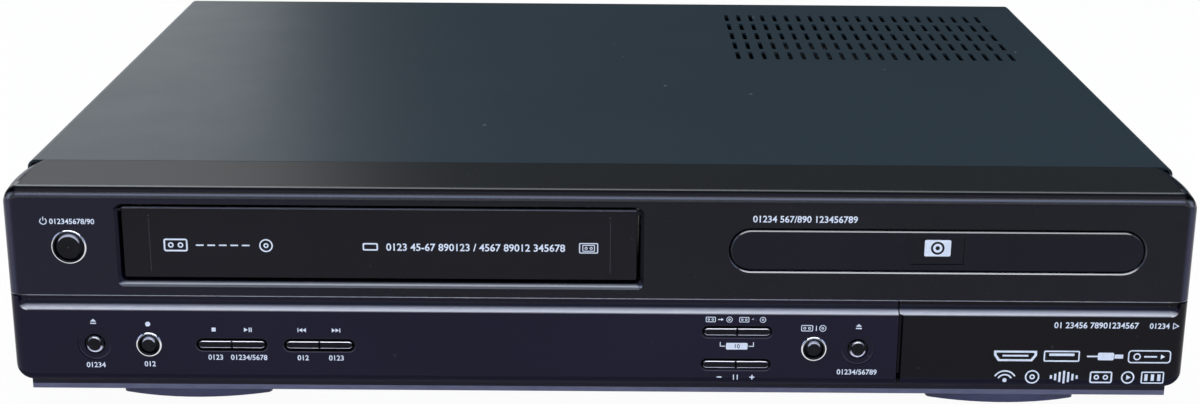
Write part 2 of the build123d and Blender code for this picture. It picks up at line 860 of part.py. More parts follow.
with BuildPart() as front_bezel:
    add(outer_front)
    add(inner_front, mode=Mode.SUBTRACT)
    block((-front_width, front_width), (-past, front_depth + past), (0, seam_z), mode=Mode.SUBTRACT)
    # Side behind the flap's short end
    add(side_filler)
    add(inner_front, mode=Mode.SUBTRACT)
    # Shelf over the lower front, the wall behind it and the shelf under it
    add(shelf)
    seam_edges = (
        front_bezel.edges()
        .filter_by(Axis.X)
        .filter_by_position(Axis.Z, seam_z - 0.01, seam_z + 0.01)
        .group_by(Axis.Y)[0]
    )
    chamfer(seam_edges, length=seam_bevel)
    block((-inner_half_width, inner_half_width), (inner_wall_depth, inner_wall_rear), (shelf_z, seam_z + past))
    block((-inner_half_width + shelf_inset, inner_half_width - shelf_inset), (inner_wall_depth, shelf_depth), ear_z)
    # Wall behind the standby key, from the side wall to the cassette throat
    block((-half_front + front_wall - bite, door_x - throat_outer + bite), (inner_wall_depth, inner_wall_rear),
        (seam_z, standby_wall_top))
    # Throat behind the cassette opening
    with BuildSketch(facing(front_wall - bite)) as throat:
        with Locations((door_x, mouth_z)):
            RectangleRounded(2 * throat_outer, mouth_height + 2 * throat_wall, mouth_corner + throat_wall)
    extrude(throat.sketch, amount=-(throat_depth - front_wall + bite))
    with BuildSketch(facing(-past)) as mouth:
        with Locations((door_x, mouth_z)):
            RectangleRounded(mouth_width, mouth_height, mouth_corner)
    extrude(mouth.sketch, amount=-(throat_depth + 2 * past), mode=Mode.SUBTRACT)
    with BuildSketch(facing(0)) as rim_front:
        with Locations((door_x, mouth_z - (mouth_rim_bottom - mouth_rim_top) / 2)):
            RectangleRounded(mouth_width + 2 * mouth_rim, mouth_height + mouth_rim_top + mouth_rim_bottom,
                mouth_corner + mouth_rim)
    with BuildSketch(facing(door_depth)) as rim_rear:
        with Locations((door_x, mouth_z)):
            RectangleRounded(mouth_width, mouth_height, mouth_corner)
    loft([rim_front.sketch, rim_rear.sketch], mode=Mode.SUBTRACT)
    rod((door_x - throat_outer, door_x + throat_outer), door_hinge_depth, door_hinge_z,
        door_pin_radius + pin_clearance, axis="X", mode=Mode.SUBTRACT)
    # Opening for the tray front, with a chamfered edge
    slot_hole(tray_x, tray_front_z, tray_opening_width, tray_opening_height, front_wall + past)
    with BuildSketch(facing(0)) as tray_rim_front:
        with Locations((tray_x, tray_front_z)):
            SlotOverall(tray_opening_width + 2 * tray_rim_bevel, tray_opening_height + 2 * tray_rim_bevel)
    with BuildSketch(facing(tray_rim_bevel)) as tray_rim_rear:
        with Locations((tray_x, tray_front_z)):
            SlotOverall(tray_opening_width, tray_opening_height)
    loft([tray_rim_front.sketch, tray_rim_rear.sketch], mode=Mode.SUBTRACT)
    # Standby hole and the guide holes of all the stems
    rod(standby_x, (-past, front_wall + bite), standby_z, standby_ring / 2 - ring_hole_margin, axis="Y",
        mode=Mode.SUBTRACT)
    for stem_x, stem_z in stems:
        rod(stem_x, (inner_wall_depth - past, inner_wall_rear + past), stem_z, stem_radius + stem_clearance,
            axis="Y", mode=Mode.SUBTRACT)
    # Display window, and the bay where the flap swings in and the jacks show
    block((display_x[0] - display_window_margin, display_x[1] + display_window_margin),
        (inner_wall_depth - past, inner_wall_rear + past),
        centred(display_z, display_height + 2 * display_window_margin), mode=Mode.SUBTRACT)
    block((bay_left_x, bay_right_x), (inner_wall_depth - past, inner_wall_rear + past), (ear_z[1], bay_top_z),
        mode=Mode.SUBTRACT)
    block((bay_left_x, swing_right_x), (inner_wall_depth - past, hinge_depth + swing_radius),
        (shelf_z - past, seam_z - 0.01), mode=Mode.SUBTRACT)
    # Ear and holes for the flap's two pins
    block((hinge_x - past, hinge_x + ear_radius), (hinge_depth, hinge_depth + swing_radius + past), ear_z)
    rod(hinge_x, hinge_depth, ear_z, ear_radius)
    rod(hinge_x, hinge_depth, (shelf_z - past, ear_z[1] + past), flap_pin_radius + pin_clearance,
        mode=Mode.SUBTRACT)
    rod(hinge_x, hinge_depth, (seam_z - past, seam_z + shelf_thickness - 0.3), flap_pin_radius + pin_clearance,
        mode=Mode.SUBTRACT)
    # Bosses that carry the key board
    for boss_x, boss_z in board_bosses:
        rod(boss_x, (inner_wall_rear - bite, board_depth), boss_z, board_boss_radius, axis="Y")
write(front_bezel, "front_bezel")

# Lower fascia: the glossy lower front, left of the flap
backing_z = (lower_top_z - cove_radius - 5.0, lower_top_z)
lower_outer = outer_front.intersect(
    cuboid((-front_width, fascia_right_x), (-past, front_depth + past), (front_bottom_z - past, lower_top_z)))
cove_backing = outer_front.intersect(cuboid((-front_width, fascia_right_x), (0, backing_depth), backing_z))

with BuildPart() as lower_fascia:
    add(lower_outer)
    add(inner_front, mode=Mode.SUBTRACT)
    add(cove_backing)
    add(left_cove, mode=Mode.SUBTRACT)
    # The underside stops short of the chassis lip
    block((-half_case + past, front_width), (lip_depth - lip_clearance, front_depth + past),
        (0, front_bottom_z + front_wall + 2.0), mode=Mode.SUBTRACT)
    for key_name, key_x, key_z, cap, ring in round_keys[1:]:
        hole = ring - 2 * ring_hole_margin if ring else plain_hole
        rod(key_x, (-past, front_wall + past), key_z, hole / 2, axis="Y", mode=Mode.SUBTRACT)
        if not ring:
            rod(key_x, (-past, dish_depth), key_z, plain_hole / 2 + dish_margin, axis="Y", mode=Mode.SUBTRACT)
    for pair_x, pair_z, left_name, right_name in bar_pairs:
        slot_hole(pair_x, pair_z, 2 * (bar_half_length + bar_recess_margin), bar_height + 2 * bar_recess_margin,
            bar_recess)
        slot_hole(pair_x, pair_z, 2 * (bar_half_length + key_gap), bar_height + 2 * key_gap, front_wall + past)
write(lower_fascia, "lower_fascia")

# Flap over the front jacks
flap_outer = outer_front.intersect(
    cuboid((flap_left_x, front_width), (-past, flap_side_depth), (front_bottom_z - past, lower_top_z)))
flap_backing = outer_front.intersect(cuboid((flap_left_x, front_width), (0, backing_depth), backing_z))
flap_floor_z = (0, front_bottom_z + front_wall + flap_bottom_clearance)

with BuildPart() as av_flap:
    add(flap_outer)
    add(inner_front, mode=Mode.SUBTRACT)
    block((flap_left_x - past, front_width), (front_wall + 1.5, front_depth), flap_floor_z, mode=Mode.SUBTRACT)
    block((flap_left_x - past, hinge_x + 8.0), (front_wall, front_depth), flap_floor_z, mode=Mode.SUBTRACT)
    add(flap_backing)
    rod(hinge_x, hinge_depth, (pocket_top_z, lower_top_z), barrel_radius)
    add(right_cove, mode=Mode.SUBTRACT)
    # The corner beside the lower fascia is rounded so that it clears it as the flap turns
    with BuildSketch(level(0)) as corner_cut:
        with BuildLine():
            round_end = (flap_left_x + flap_edge_round, at(0))
            Polyline((flap_left_x - past, at(-past)), (flap_left_x + flap_edge_round, at(-past)), round_end)
            RadiusArc(round_end, (flap_left_x, at(flap_edge_round)), -flap_edge_round)
            Polyline((flap_left_x, at(flap_edge_round)), (flap_left_x - past, at(flap_edge_round)),
                (flap_left_x - past, at(-past)))
        make_face()
    extrude(corner_cut.sketch, amount=seam_z, mode=Mode.SUBTRACT)
    # Pocket for the ear, with the lower pin standing in it
    block((flap_left_x - past, hinge_x + ear_radius + pocket_clearance), (pocket_skin, front_depth),
        (pocket_z, pocket_top_z), mode=Mode.SUBTRACT)
    rod(hinge_x, hinge_depth, (shelf_z + 0.3, pocket_top_z), flap_pin_radius)
    rod(hinge_x, hinge_depth, (lower_top_z, seam_z + shelf_thickness - 0.6), flap_pin_radius)
write(av_flap, "av_flap")

# Cassette door
with BuildPart() as cassette_door:
    with BuildSketch(facing(door_depth)) as door_outline:
        with Locations((door_x, door_bottom_z + door_height / 2)):
            RectangleRounded(door_width, door_height, door_corner)
    extrude(door_outline.sketch, amount=-door_thickness)
    chamfer(cassette_door.faces().sort_by(Axis.Y)[0].edges(), length=door_bevel)
    rod(centred(door_x, 2 * (throat_outer - door_pin_end_gap)), door_hinge_depth, door_hinge_z, door_pin_radius,
        axis="X")
write(cassette_door, "cassette_door")

# Tray front
with BuildPart() as tray_front:
    with BuildSketch(facing(0)) as tray_front_outline:
        with Locations((tray_x, tray_front_z)):
            SlotOverall(tray_front_width, tray_front_height)
    extrude(tray_front_outline.sketch, amount=-tray_front_thickness)
    chamfer(tray_front.faces().sort_by(Axis.Y)[0].edges(), length=tray_front_bevel)
    square_hole(tray_x, tray_front_z + badge_rise, (badge_width, badge_height), -past, badge_recess)
    block(centred(tray_x, plate_width), (plate_setback, badge_recess),
        centred(tray_front_z + plate_rise, plate_height))
write(tray_front, "tray_front")

# Disc tray, with the rack under its left side
tray_span = centred(tray_x, tray_width)
with BuildPart() as disc_tray:
    block(tray_span, (tray_front_thickness, tray_rear_depth), (tray_skirt_z, tray_top_z))
    block((tray_span[0] + tray_skirt, tray_span[1] - tray_skirt),
        (tray_front_thickness + tray_skirt, tray_rear_depth + past), (tray_skirt_z - past, tray_floor_z),
        mode=Mode.SUBTRACT)
    for side in (-1, 1):
        edge_x = tray_x + side * tray_width / 2
        runner = sorted((edge_x - side * bite, edge_x + side * runner_width))
        block(runner, (tray_front_thickness + runner_start, tray_rear_depth), (runner_bottom_z, runner_top_z))
    rod(tray_x, disc_depth, (tray_top_z - tray_well_depth, tray_top_z + past), disc_diameter / 2 + disc_clearance,
        mode=Mode.SUBTRACT)
    rod(tray_x, disc_depth, (tray_top_z - tray_well_depth - small_disc_recess, tray_top_z),
        small_disc_diameter / 2 + disc_clearance, mode=Mode.SUBTRACT)
    rod(tray_x, disc_depth, (tray_skirt_z - past, tray_top_z + past), tray_slot_width / 2, mode=Mode.SUBTRACT)
    block(centred(tray_x, tray_slot_width), (disc_depth, tray_slot_end), (tray_skirt_z - past, tray_top_z + past),
        mode=Mode.SUBTRACT)
    # Rack, from under the tray's floor down to its teeth
    block((rack_line_x - rack_back[0], rack_line_x - rack_back[1]),
        (tray_front_thickness + rack_start, tray_rear_depth), (rack_z[0], tray_floor_z + 0.2))
    with BuildSketch(level(rack_z[0])) as rack_teeth:
        for tooth in range(-3, int((tray_rear_depth - pinion_depth) / rack_pitch)):
            tooth_depth = pinion_depth + rack_pitch * (tooth + 0.5)
            with Locations((rack_line_x - tooth_root, at(tooth_depth))):
                Trapezoid(tooth_width * 1.3, tooth_root + tooth_height, 80, rotation=-90,
                    align=(Align.CENTER, Align.MIN))
    extrude(rack_teeth.sketch, amount=rack_z[1] - rack_z[0])
write(disc_tray, "disc_tray")


# Keys: each cap sits in its hole, a flange behind the wall keeps it in, and a stem runs in a guide hole
def add_stem(x, z):
    """Adds the stem to the key in hand."""
    rod(x, (flange_depth, stem_tip_depth), z, stem_radius, axis="Y")


for key_name, key_x, key_z, cap, ring in round_keys:
    reach = cap_reach if ring else plain_cap_reach
    body_radius = cap / 2 if ring else plain_hole / 2 - 3 * key_gap
    flange_radius = body_radius + key_flange_margin
    flange_rear = flange_depth + key_flange
    key_plane = Plane(origin=(key_x, at(0), key_z), x_dir=(1, 0, 0), z_dir=(0, 0, 1))
    with BuildPart() as round_key:
        with BuildSketch(key_plane) as half_profile:
            with BuildLine():
                shoulder = (body_radius, cap_shoulder)
                crown = (body_radius - cap_inset, -reach + cap_crown)
                Polyline((0, -reach), (0, flange_rear), (flange_radius, flange_rear),
                    (flange_radius, flange_depth), (body_radius, flange_depth), shoulder)
                RadiusArc(shoulder, crown, -cap_round)
                Line(crown, (0, -reach))
            make_face()
        revolve(half_profile.sketch, axis=Axis((key_x, at(0), key_z), (0, 1, 0)))
        add_stem(key_x, key_z)
    write(round_key, key_name)

for key_name, key_x, key_z, side, pair_x in bar_keys:
    with BuildPart() as bar_key:
        with BuildSketch(facing(flange_depth)) as bar_outline:
            with Locations((pair_x, key_z)):
                SlotOverall(2 * bar_half_length, bar_height)
            with Locations((pair_x - side * (bar_half_length - bar_split / 2), key_z)):
                Rectangle(2 * bar_half_length, 2 * bar_height, mode=Mode.SUBTRACT)
        extrude(bar_outline.sketch, amount=flange_depth + bar_reach)
        fillet(bar_key.faces().sort_by(Axis.Y)[0].edges(), radius=bar_round)
        block(centred(key_x, bar_half_length - 2 * bar_flange_inset), (flange_depth, flange_depth + key_flange),
            centred(key_z, bar_height + 2 * key_flange_margin))
        add_stem(key_x, key_z)
    write(bar_key, key_name)

# Chrome rings round the ringed keys
with BuildPart() as button_rings:
    for key_name, key_x, key_z, cap, ring in round_keys:
        if ring:
            inner_radius = cap / 2 + key_gap
            outer_radius = ring / 2
            sleeve_radius = outer_radius - ring_hole_margin - ring_sleeve_clearance
            sleeve_end = front_wall - ring_sleeve_end
            key_plane = Plane(origin=(key_x, at(0), key_z), x_dir=(1, 0, 0), z_dir=(0, 0, 1))
            with BuildSketch(key_plane) as ring_profile:
                with BuildLine():
                    Polyline((inner_radius, 0), (inner_radius, sleeve_end), (sleeve_radius, sleeve_end),
                        (sleeve_radius, 0), (outer_radius, 0))
                    ThreePointArc((outer_radius, 0), ((inner_radius + outer_radius) / 2, -ring_flange),
                        (inner_radius, 0))
                make_face()
            revolve(ring_profile.sketch, axis=Axis((key_x, at(0), key_z), (0, 1, 0)))
write(button_rings, "button_rings")

# Key board, its switches and the display
key_board_depth = (board_depth, board_depth + board_thickness)
with BuildPart() as key_board:
    block(key_board_x, key_board_depth, (key_board_bottom_z, key_board_top_z))
    block((key_board_x[0], standby_x + board_arm_reach), key_board_depth,
        (key_board_top_z - past, standby_z + board_arm_rise))
    for boss_x, boss_z in board_bosses:
        rod(boss_x, (board_depth - past, key_board_depth[1] + past), boss_z, board_hole_radius, axis="Y",
            mode=Mode.SUBTRACT)
write(key_board, "key_board")

with BuildPart() as tact_switches:
    for stem_x, stem_z in stems:
        block(centred(stem_x, switch_body), (board_depth - switch_height, board_depth), centred(stem_z, switch_body))
        rod(stem_x, (switch_tip_depth, board_depth - bite), stem_z, plunger_radius, axis="Y")
write(tact_switches, "tact_switches")

with BuildPart() as display_tube:
    block(display_x, (board_depth - display_thickness, board_depth), centred(display_z, display_height))
    chamfer(display_tube.faces().sort_by(Axis.Y)[0].edges(), length=display_bevel)
write(display_tube, "display_tube")

# Front jacks on their board
jack_face = bay_depth
jack_rear = bay_depth + jack_plate + jack_body_depth
with BuildPart() as front_jacks:
    block((bay_left_x + jack_plate_start, bay_right_x - jack_plate_gap), (jack_face, jack_face + jack_plate),
        (ear_z[1] + 0.2, bay_top_z))
    block((phono_jacks_x[0] - jack_body_margin[0], data_jack_x + jack_body_margin[1]),
        (jack_face + jack_plate, jack_rear), (link_z - jack_body_drop, jack_row_z + jack_body_rise))
    block((phono_jacks_x[0] - jack_board[0], data_jack_x + jack_board[1]),
        (shelf_depth + 0.5, shelf_depth + jack_board_reach),
        (link_z - jack_body_drop - jack_board_sheet, link_z - jack_body_drop))
    for jack_x in phono_jacks_x:
        rod(jack_x, (jack_face - phono_reach, jack_face + past), jack_row_z, phono_shell_radius, axis="Y")
        rod(jack_x, (jack_face - phono_reach - past, jack_face + phono_bore_depth), jack_row_z, phono_pin_radius,
            axis="Y", mode=Mode.SUBTRACT)
    rod(video_jack_x, (jack_face - past, jack_face + past), jack_row_z, video_shell_radius, axis="Y")
    rod(video_jack_x, (jack_face - 2 * past, jack_face + phono_bore_depth + past), jack_row_z, video_bore_radius,
        axis="Y", mode=Mode.SUBTRACT)
    rod(video_jack_x, (jack_face + video_core_back, jack_face + phono_bore_depth + 2 * past), jack_row_z,
        video_core_radius, axis="Y")
    tongue_depth = (jack_face + tongue_back, jack_face + data_bore_depth + past)
    square_hole(data_jack_x, jack_row_z, usb_size, jack_face - past, jack_face + data_bore_depth)
    square_hole(data_jack_x, link_z, link_size, jack_face - past, jack_face + data_bore_depth)
    block(centred(data_jack_x, usb_tongue[0]), tongue_depth, (jack_row_z + 0.1, jack_row_z + 0.1 + usb_tongue[1]))
    block(centred(data_jack_x, link_tongue[0]), tongue_depth, centred(link_z, link_tongue[1]))
write(front_jacks, "front_jacks")

# Top cover: one folded sheet with a vented corner and a turned-down rear edge
with BuildPart() as top_cover:
    with BuildSketch(facing(cover_front_depth)) as fold:
        with BuildLine():
            fold_line = Polyline((-half_case, cover_bottom_z), (-half_case, cover_top_z),
                (half_case, cover_top_z), (half_case, cover_bottom_z))
            offset(fold_line, amount=cover_sheet, side=Side.RIGHT)
        make_face()
        outer_bends = fold.vertices().group_by(Axis.Y)[-1]
        fillet(outer_bends, radius=cover_bend)
        inner_bends = fold.vertices().filter_by(
            lambda corner: abs(corner.Y - (cover_top_z - cover_sheet)) < 0.01)
        fillet(inner_bends, radius=cover_bend - cover_sheet)
    extrude(fold.sketch, amount=-(body_depth - cover_front_depth))
    flange_half = half_case - cover_bend - rear_flange_inset
    block((-flange_half, flange_half), (rear_panel_depth + 0.02, body_depth),
        (rear_flange_z, cover_top_z - cover_sheet / 2))
    with BuildSketch(level(cover_top_z + past)) as vents:
        with Locations((half_front - vent_right_inset, at(body_depth - vent_rear_inset))):
            with GridLocations(vent_pitch_x, vent_pitch_y, vent_columns, vent_rows):
                SlotOverall(vent_length, vent_width, rotation=90)
    extrude(vents.sketch, amount=-(cover_sheet + 2 * past), mode=Mode.SUBTRACT)
    for screw_depth in side_screw_depths:
        for side in (-1, 1):
            rod(centred(side * half_case, screw_length), screw_depth, side_screw_z, screw_radius + screw_clearance,
                axis="X", mode=Mode.SUBTRACT)
    for screw_x in rear_screws_x:
        rod(screw_x, centred(body_depth, screw_length), rear_screw_z, screw_radius + screw_clearance, axis="Y",
            mode=Mode.SUBTRACT)
write(top_cover, "top_cover")


# Bottom chassis: floor, front lip, side walls and the stand-offs of the two boards
def board_corners(x, depth):
    """The four fixing points of a board, in from its corners."""
    return [(post_x, post_depth) for post_x in (x[0] + corner_inset, x[1] - corner_inset)
            for post_depth in (depth[0] + corner_inset, depth[1] - corner_inset)]


chassis_span = (-half_chassis, half_chassis)
with BuildPart() as bottom_chassis:
    block(chassis_span, (lip_depth, rear_panel_depth - 0.1), (chassis_z, floor_top_z))
    block(chassis_span, (lip_depth, lip_depth + chassis_sheet), (chassis_z, front_bottom_z - 0.3))
    block((-inner_half_width, flap_left_x - 3.0), (lip_depth, lip_depth + chassis_sheet), (chassis_z, lip_top_z))
    for side in (-1, 1):
        wall_x = sorted((side * wall_outer, side * (wall_outer - chassis_sheet)))
        block(wall_x, (front_depth + chassis_wall_front, rear_panel_depth - chassis_wall_rear),
            (chassis_z, chassis_wall_z))
    for board_x, board_depths in ((power_board_x, power_board_depth), (main_board_x, main_board_depth)):
        for post_x, post_depth in board_corners(board_x, board_depths):
            rod(post_x, post_depth, (chassis_z, board_z), standoff_radius)
    for screw_depth in side_screw_depths:
        for side in (-1, 1):
            rod(centred(side * half_case, 2 * screw_length), screw_depth, side_screw_z,
                screw_radius + thread_clearance, axis="X", mode=Mode.SUBTRACT)
    # Air slots in the floor under the boards
    slot_centres = (power_board_x[0] + floor_slot_offsets[0], main_board_x[0] + floor_slot_offsets[1])
    with BuildSketch(level(chassis_z - past)) as floor_slots:
        for slot_x in slot_centres:
            with Locations((slot_x, at(body_depth - floor_slot_rear_inset))):
                with GridLocations(slot_pitch[0], slot_pitch[1], slot_columns, slot_rows):
                    SlotOverall(floor_slot[0], floor_slot[1], rotation=90)
    extrude(floor_slots.sketch, amount=chassis_sheet + 2 * past, mode=Mode.SUBTRACT)
write(bottom_chassis, "bottom_chassis")

# Rear panel with an opening for each socket
with BuildPart() as rear_panel:
    block((-wall_outer, wall_outer), (socket_front, rear_panel_depth),
        (floor_top_z + panel_floor_gap, cover_top_z - cover_sheet - sheet_gap))
    fillet(rear_panel.edges().filter_by(Axis.Y).group_by(Axis.Z)[-1], radius=cover_bend)
    panel_flange_half = wall_outer - panel_flange_inset
    block((-panel_flange_half, panel_flange_half), (rear_panel_depth - panel_flange, rear_panel_depth),
        (floor_top_z, floor_top_z + cover_sheet))
    with BuildSketch(facing(rear_panel_depth + past)) as panel_holes:
        for socket_z in scart_z:
            with Locations((scart_x, socket_z)):
                Rectangle(scart_shell[0] + 2 * (panel_gap + scart_shell_wall),
                    scart_shell[1] + 2 * (panel_gap + scart_shell_wall))
        for jack_x, jack_z in rear_jacks:
            with Locations((jack_x, jack_z)):
                Circle(phono_shell_radius + rear_jack_hole_margin)
        with Locations((digital_x, digital_z)):
            Rectangle(digital_size[0] + 2 * panel_gap, digital_size[1] + 2 * panel_gap)
        for socket_z in aerial_z:
            with Locations((aerial_x, socket_z)):
                Circle(aerial_radius + aerial_hole_margin)
        with Locations((inlet_x, inlet_z)):
            Rectangle(inlet_size[0] + 2 * panel_gap, inlet_size[1] + 2 * panel_gap)
        for row in range(grille_rows):
            slot_z = grille_pitch * (row - (grille_rows - 1) / 2)
            slot_half = math.sqrt(fan_bore_radius ** 2 - slot_z ** 2) - grille_margin
            with Locations((fan_x, fan_z + slot_z)):
                SlotOverall(2 * slot_half, grille_slot)
        for screw_x, screw_z in fan_screws:
            with Locations((fan_x + screw_x, fan_z + screw_z)):
                Circle(screw_radius)
        for screw_x in rear_screws_x:
            with Locations((screw_x, rear_screw_z)):
                Circle(screw_radius + thread_clearance)
    extrude(panel_holes.sketch, amount=panel_flange + 4 * past, mode=Mode.SUBTRACT)
write(rear_panel, "rear_panel")


# Feet and their pads
def foot_plan(x, depth, side, inset):
    """A foot's plan: a bowed outer edge, straight ends and a straight inner edge."""
    half = foot_length / 2 - inset
    bow = foot_bow_radius - math.sqrt(foot_bow_radius ** 2 - half ** 2)
    outer = at(depth) - side * inset
    inner = at(depth) - side * (foot_reach - inset)
    with BuildSketch(Plane.XY) as plan:
        with BuildLine():
            ThreePointArc((x - half, outer - side * bow), (x, outer), (x + half, outer - side * bow))
            Polyline((x + half, outer - side * bow), (x + half, inner), (x - half, inner),
                (x - half, outer - side * bow))
        make_face()
        fillet(plan.vertices(), radius=foot_corner)
    return plan.sketch


foot_places = [(side_x * foot_x, depth, side) for side_x in (-1, 1)
               for depth, side in ((front_foot_depth, -1), (rear_foot_depth, 1))]
with BuildPart() as feet:
    for place_x, place_depth, side in foot_places:
        extrude(foot_plan(place_x, place_depth, side, 0).moved(Location((0, 0, foot_bottom_z))),
            amount=chassis_z - foot_bottom_z)
        extrude(foot_plan(place_x, place_depth, side, pad_inset).moved(Location((0, 0, foot_bottom_z - past))),
            amount=past + pad_seat, mode=Mode.SUBTRACT)
write(feet, "feet")

with BuildPart() as foot_pads:
    for place_x, place_depth, side in foot_places:
        extrude(foot_plan(place_x, place_depth, side, pad_inset + pad_clearance), amount=foot_bottom_z + pad_seat)
write(foot_pads, "foot_pads")

# Screws that hold the cover, at its sides and along its rear edge
with BuildPart() as case_screws:
    for screw_depth in side_screw_depths:
        for side in (-1, 1):
            shank = sorted((side * (half_case - screw_length), side * (half_case + bite)))
            head = sorted((side * half_case, side * (half_case + screw_head)))
            rod(shank, screw_depth, side_screw_z, screw_radius, axis="X")
            rod(head, screw_depth, side_screw_z, screw_head_radius, axis="X")
    for screw_x in rear_screws_x:
        rod(screw_x, (body_depth - screw_length, body_depth + bite), rear_screw_z, screw_radius, axis="Y")
        rod(screw_x, (body_depth, body_depth + screw_head), rear_screw_z, screw_head_radius, axis="Y")
        block(centred(screw_x, screw_slot[0]),
            (body_depth + screw_head - screw_slot[2], body_depth + screw_head + past),
            centred(rear_screw_z, screw_slot[1]), mode=Mode.SUBTRACT)
write(case_screws, "case_screws")

# Rear sockets
with BuildPart() as scart_sockets:
    for socket_z in scart_z:
        block(centred(scart_x, scart_size[0]), (socket_front - scart_depth, socket_front),
            centred(socket_z, scart_size[1]))
        block(centred(scart_x, scart_shell[0] + 2 * scart_shell_wall),
            (socket_front - bite, rear_panel_depth + scart_face_reach),
            centred(socket_z, scart_shell[1] + 2 * scart_shell_wall))
        mouth_start = socket_front - scart_mouth_depth
        mouth_end = rear_panel_depth + scart_face_reach
        square_hole(scart_x, socket_z, scart_shell, mouth_start, mouth_end + past)
        block(centred(scart_x, scart_core[0]), (mouth_start - bite, mouth_end), centred(socket_z, scart_core[1]))
write(scart_sockets, "scart_sockets")

with BuildPart() as jack_panel:
    block(centred(jack_panel_x, jack_panel_size[0]), (socket_front - jack_panel_depth, socket_front),
        centred(jack_panel_z, jack_panel_size[1]))
    for jack_x, jack_z in rear_jacks:
        rod(jack_x, (socket_front - bite, rear_panel_depth + rear_jack_reach), jack_z, phono_shell_radius, axis="Y")
        rod(jack_x, (rear_panel_depth + past, rear_panel_depth + rear_jack_reach + past), jack_z, phono_pin_radius,
            axis="Y", mode=Mode.SUBTRACT)
write(jack_panel, "jack_panel")

with BuildPart() as digital_socket:
    block(centred(digital_x, digital_size[0]), (socket_front - digital_depth, rear_panel_depth + digital_reach),
        centred(digital_z, digital_size[1]))
    with BuildSketch(facing(rear_panel_depth + past)) as digital_mouth:
        with Locations((digital_x, digital_z)):
            Trapezoid(digital_size[0] - 2 * digital_wall[0], digital_size[1] - 2 * digital_wall[1], 60, rotation=180)
    extrude(digital_mouth.sketch, amount=digital_bore_depth + past, mode=Mode.SUBTRACT)
    block(centred(digital_x, digital_tongue[0]), (socket_front - digital_bore_depth - past, rear_panel_depth - 0.6),
        centred(digital_z, digital_tongue[1]))
write(digital_socket, "digital_socket")

# Tuner can with its two aerial sockets
with BuildPart() as tuner_can:
    block(tuner_x, tuner_depth, (parts_z, tuner_top_z))
    chamfer(tuner_can.edges().filter_by(Axis.Z), length=tuner_bevel)
    aerial_end = body_depth + rear_reach
    for socket_z in aerial_z:
        rod(aerial_x, (tuner_depth[1] - bite, socket_front - aerial_collar_gap), socket_z,
            aerial_radius + aerial_collar, axis="Y")
        rod(aerial_x, (socket_front - aerial_collar_gap - past, aerial_end), socket_z, aerial_radius, axis="Y")
        rod(aerial_x, (body_depth, aerial_end + past), socket_z, aerial_radius - aerial_wall, axis="Y",
            mode=Mode.SUBTRACT)
        rod(aerial_x, (body_depth - past, aerial_end - aerial_core_back), socket_z, aerial_core_radius, axis="Y")
    with BuildSketch(level(tuner_top_z)) as can_slots:
        with Locations((middle(tuner_x), at(middle(tuner_depth)))):
            with GridLocations(tuner_slot_pitch[0], tuner_slot_pitch[1], tuner_slots[0], tuner_slots[1]):
                SlotOverall(tuner_slot[0], tuner_slot[1])
    extrude(can_slots.sketch, amount=-tuner_slot_depth, mode=Mode.SUBTRACT)
write(tuner_can, "tuner_can")

with BuildPart() as mains_inlet:
    block(centred(inlet_x, inlet_size[0]), (socket_front - inlet_depth, rear_panel_depth + inlet_reach),
        centred(inlet_z, inlet_size[1]))
    with BuildSketch(facing(rear_panel_depth + inlet_reach + past)) as inlet_mouth:
        with Locations((inlet_x, inlet_z)):
            SlotOverall(*inlet_socket)
    extrude(inlet_mouth.sketch, amount=inlet_socket_depth + inlet_reach + past, mode=Mode.SUBTRACT)
    for side in (-1, 1):
        rod(inlet_x + side * inlet_pin_spacing / 2,
            (rear_panel_depth - inlet_socket_depth - past, rear_panel_depth - inlet_pin_back), inlet_z,
            inlet_pin_radius, axis="Y")
write(mains_inlet, "mains_inlet")

# Fan: a frame with its motor seat on four struts at the inner side, and the rotor on its pin
strut_depth = (fan_front, fan_front + fan_strut[1])
with BuildPart() as fan_frame:
    with BuildSketch(facing(socket_front)) as fan_outline:
        with Locations((fan_x, fan_z)):
            RectangleRounded(fan_size, fan_size, fan_corner)
            Circle(fan_bore_radius, mode=Mode.SUBTRACT)
            with Locations(*fan_screws):
                Circle(screw_radius, mode=Mode.SUBTRACT)
    extrude(fan_outline.sketch, amount=fan_depth)
    block(centred(fan_x, fan_size - past), strut_depth, centred(fan_z, fan_strut[0]))
    block(centred(fan_x, fan_strut[0]), strut_depth, centred(fan_z, fan_size - past))
    rod(fan_x, strut_depth, fan_z, hub_radius, axis="Y")
    rod(fan_x, (fan_front, socket_front - fan_pin_end), fan_z, fan_pin_radius, axis="Y")
write(fan_frame, "fan_frame")

with BuildPart() as fan_rotor:
    rotor_depth = (strut_depth[1] + rotor_front_gap, socket_front - rotor_rear_gap)
    rod(fan_x, rotor_depth, fan_z, hub_radius, axis="Y")
    tilt_angle = math.radians(blade_tilt)
    for blade in range(fan_blades):
        angle = 2 * math.pi * blade / fan_blades
        blade_plane = Plane(origin=(fan_x, at(middle(rotor_depth)), fan_z),
            x_dir=(math.cos(angle), 0, math.sin(angle)),
            z_dir=(-math.sin(angle) * math.cos(tilt_angle), math.sin(tilt_angle),
                   math.cos(angle) * math.cos(tilt_angle)))
        with BuildSketch(blade_plane) as blade_outline:
            with Locations(((hub_radius + rotor_radius) / 2 - blade_sink, 0)):
                Rectangle(*blade_size)
        extrude(blade_outline.sketch, amount=blade_thickness / 2, both=True)
    rod(fan_x, (fan_front, socket_front - rotor_bore_end), fan_z, fan_pin_radius + pin_clearance, axis="Y",
        mode=Mode.SUBTRACT)
write(fan_rotor, "fan_rotor")


# Power board and what stands on it
def shifted(span, start):
    """A span moved along by a start."""
    return (start + span[0], start + span[1])


with BuildPart() as power_board:
    block(power_board_x, power_board_depth, (board_z, parts_z))
write(power_board, "power_board")

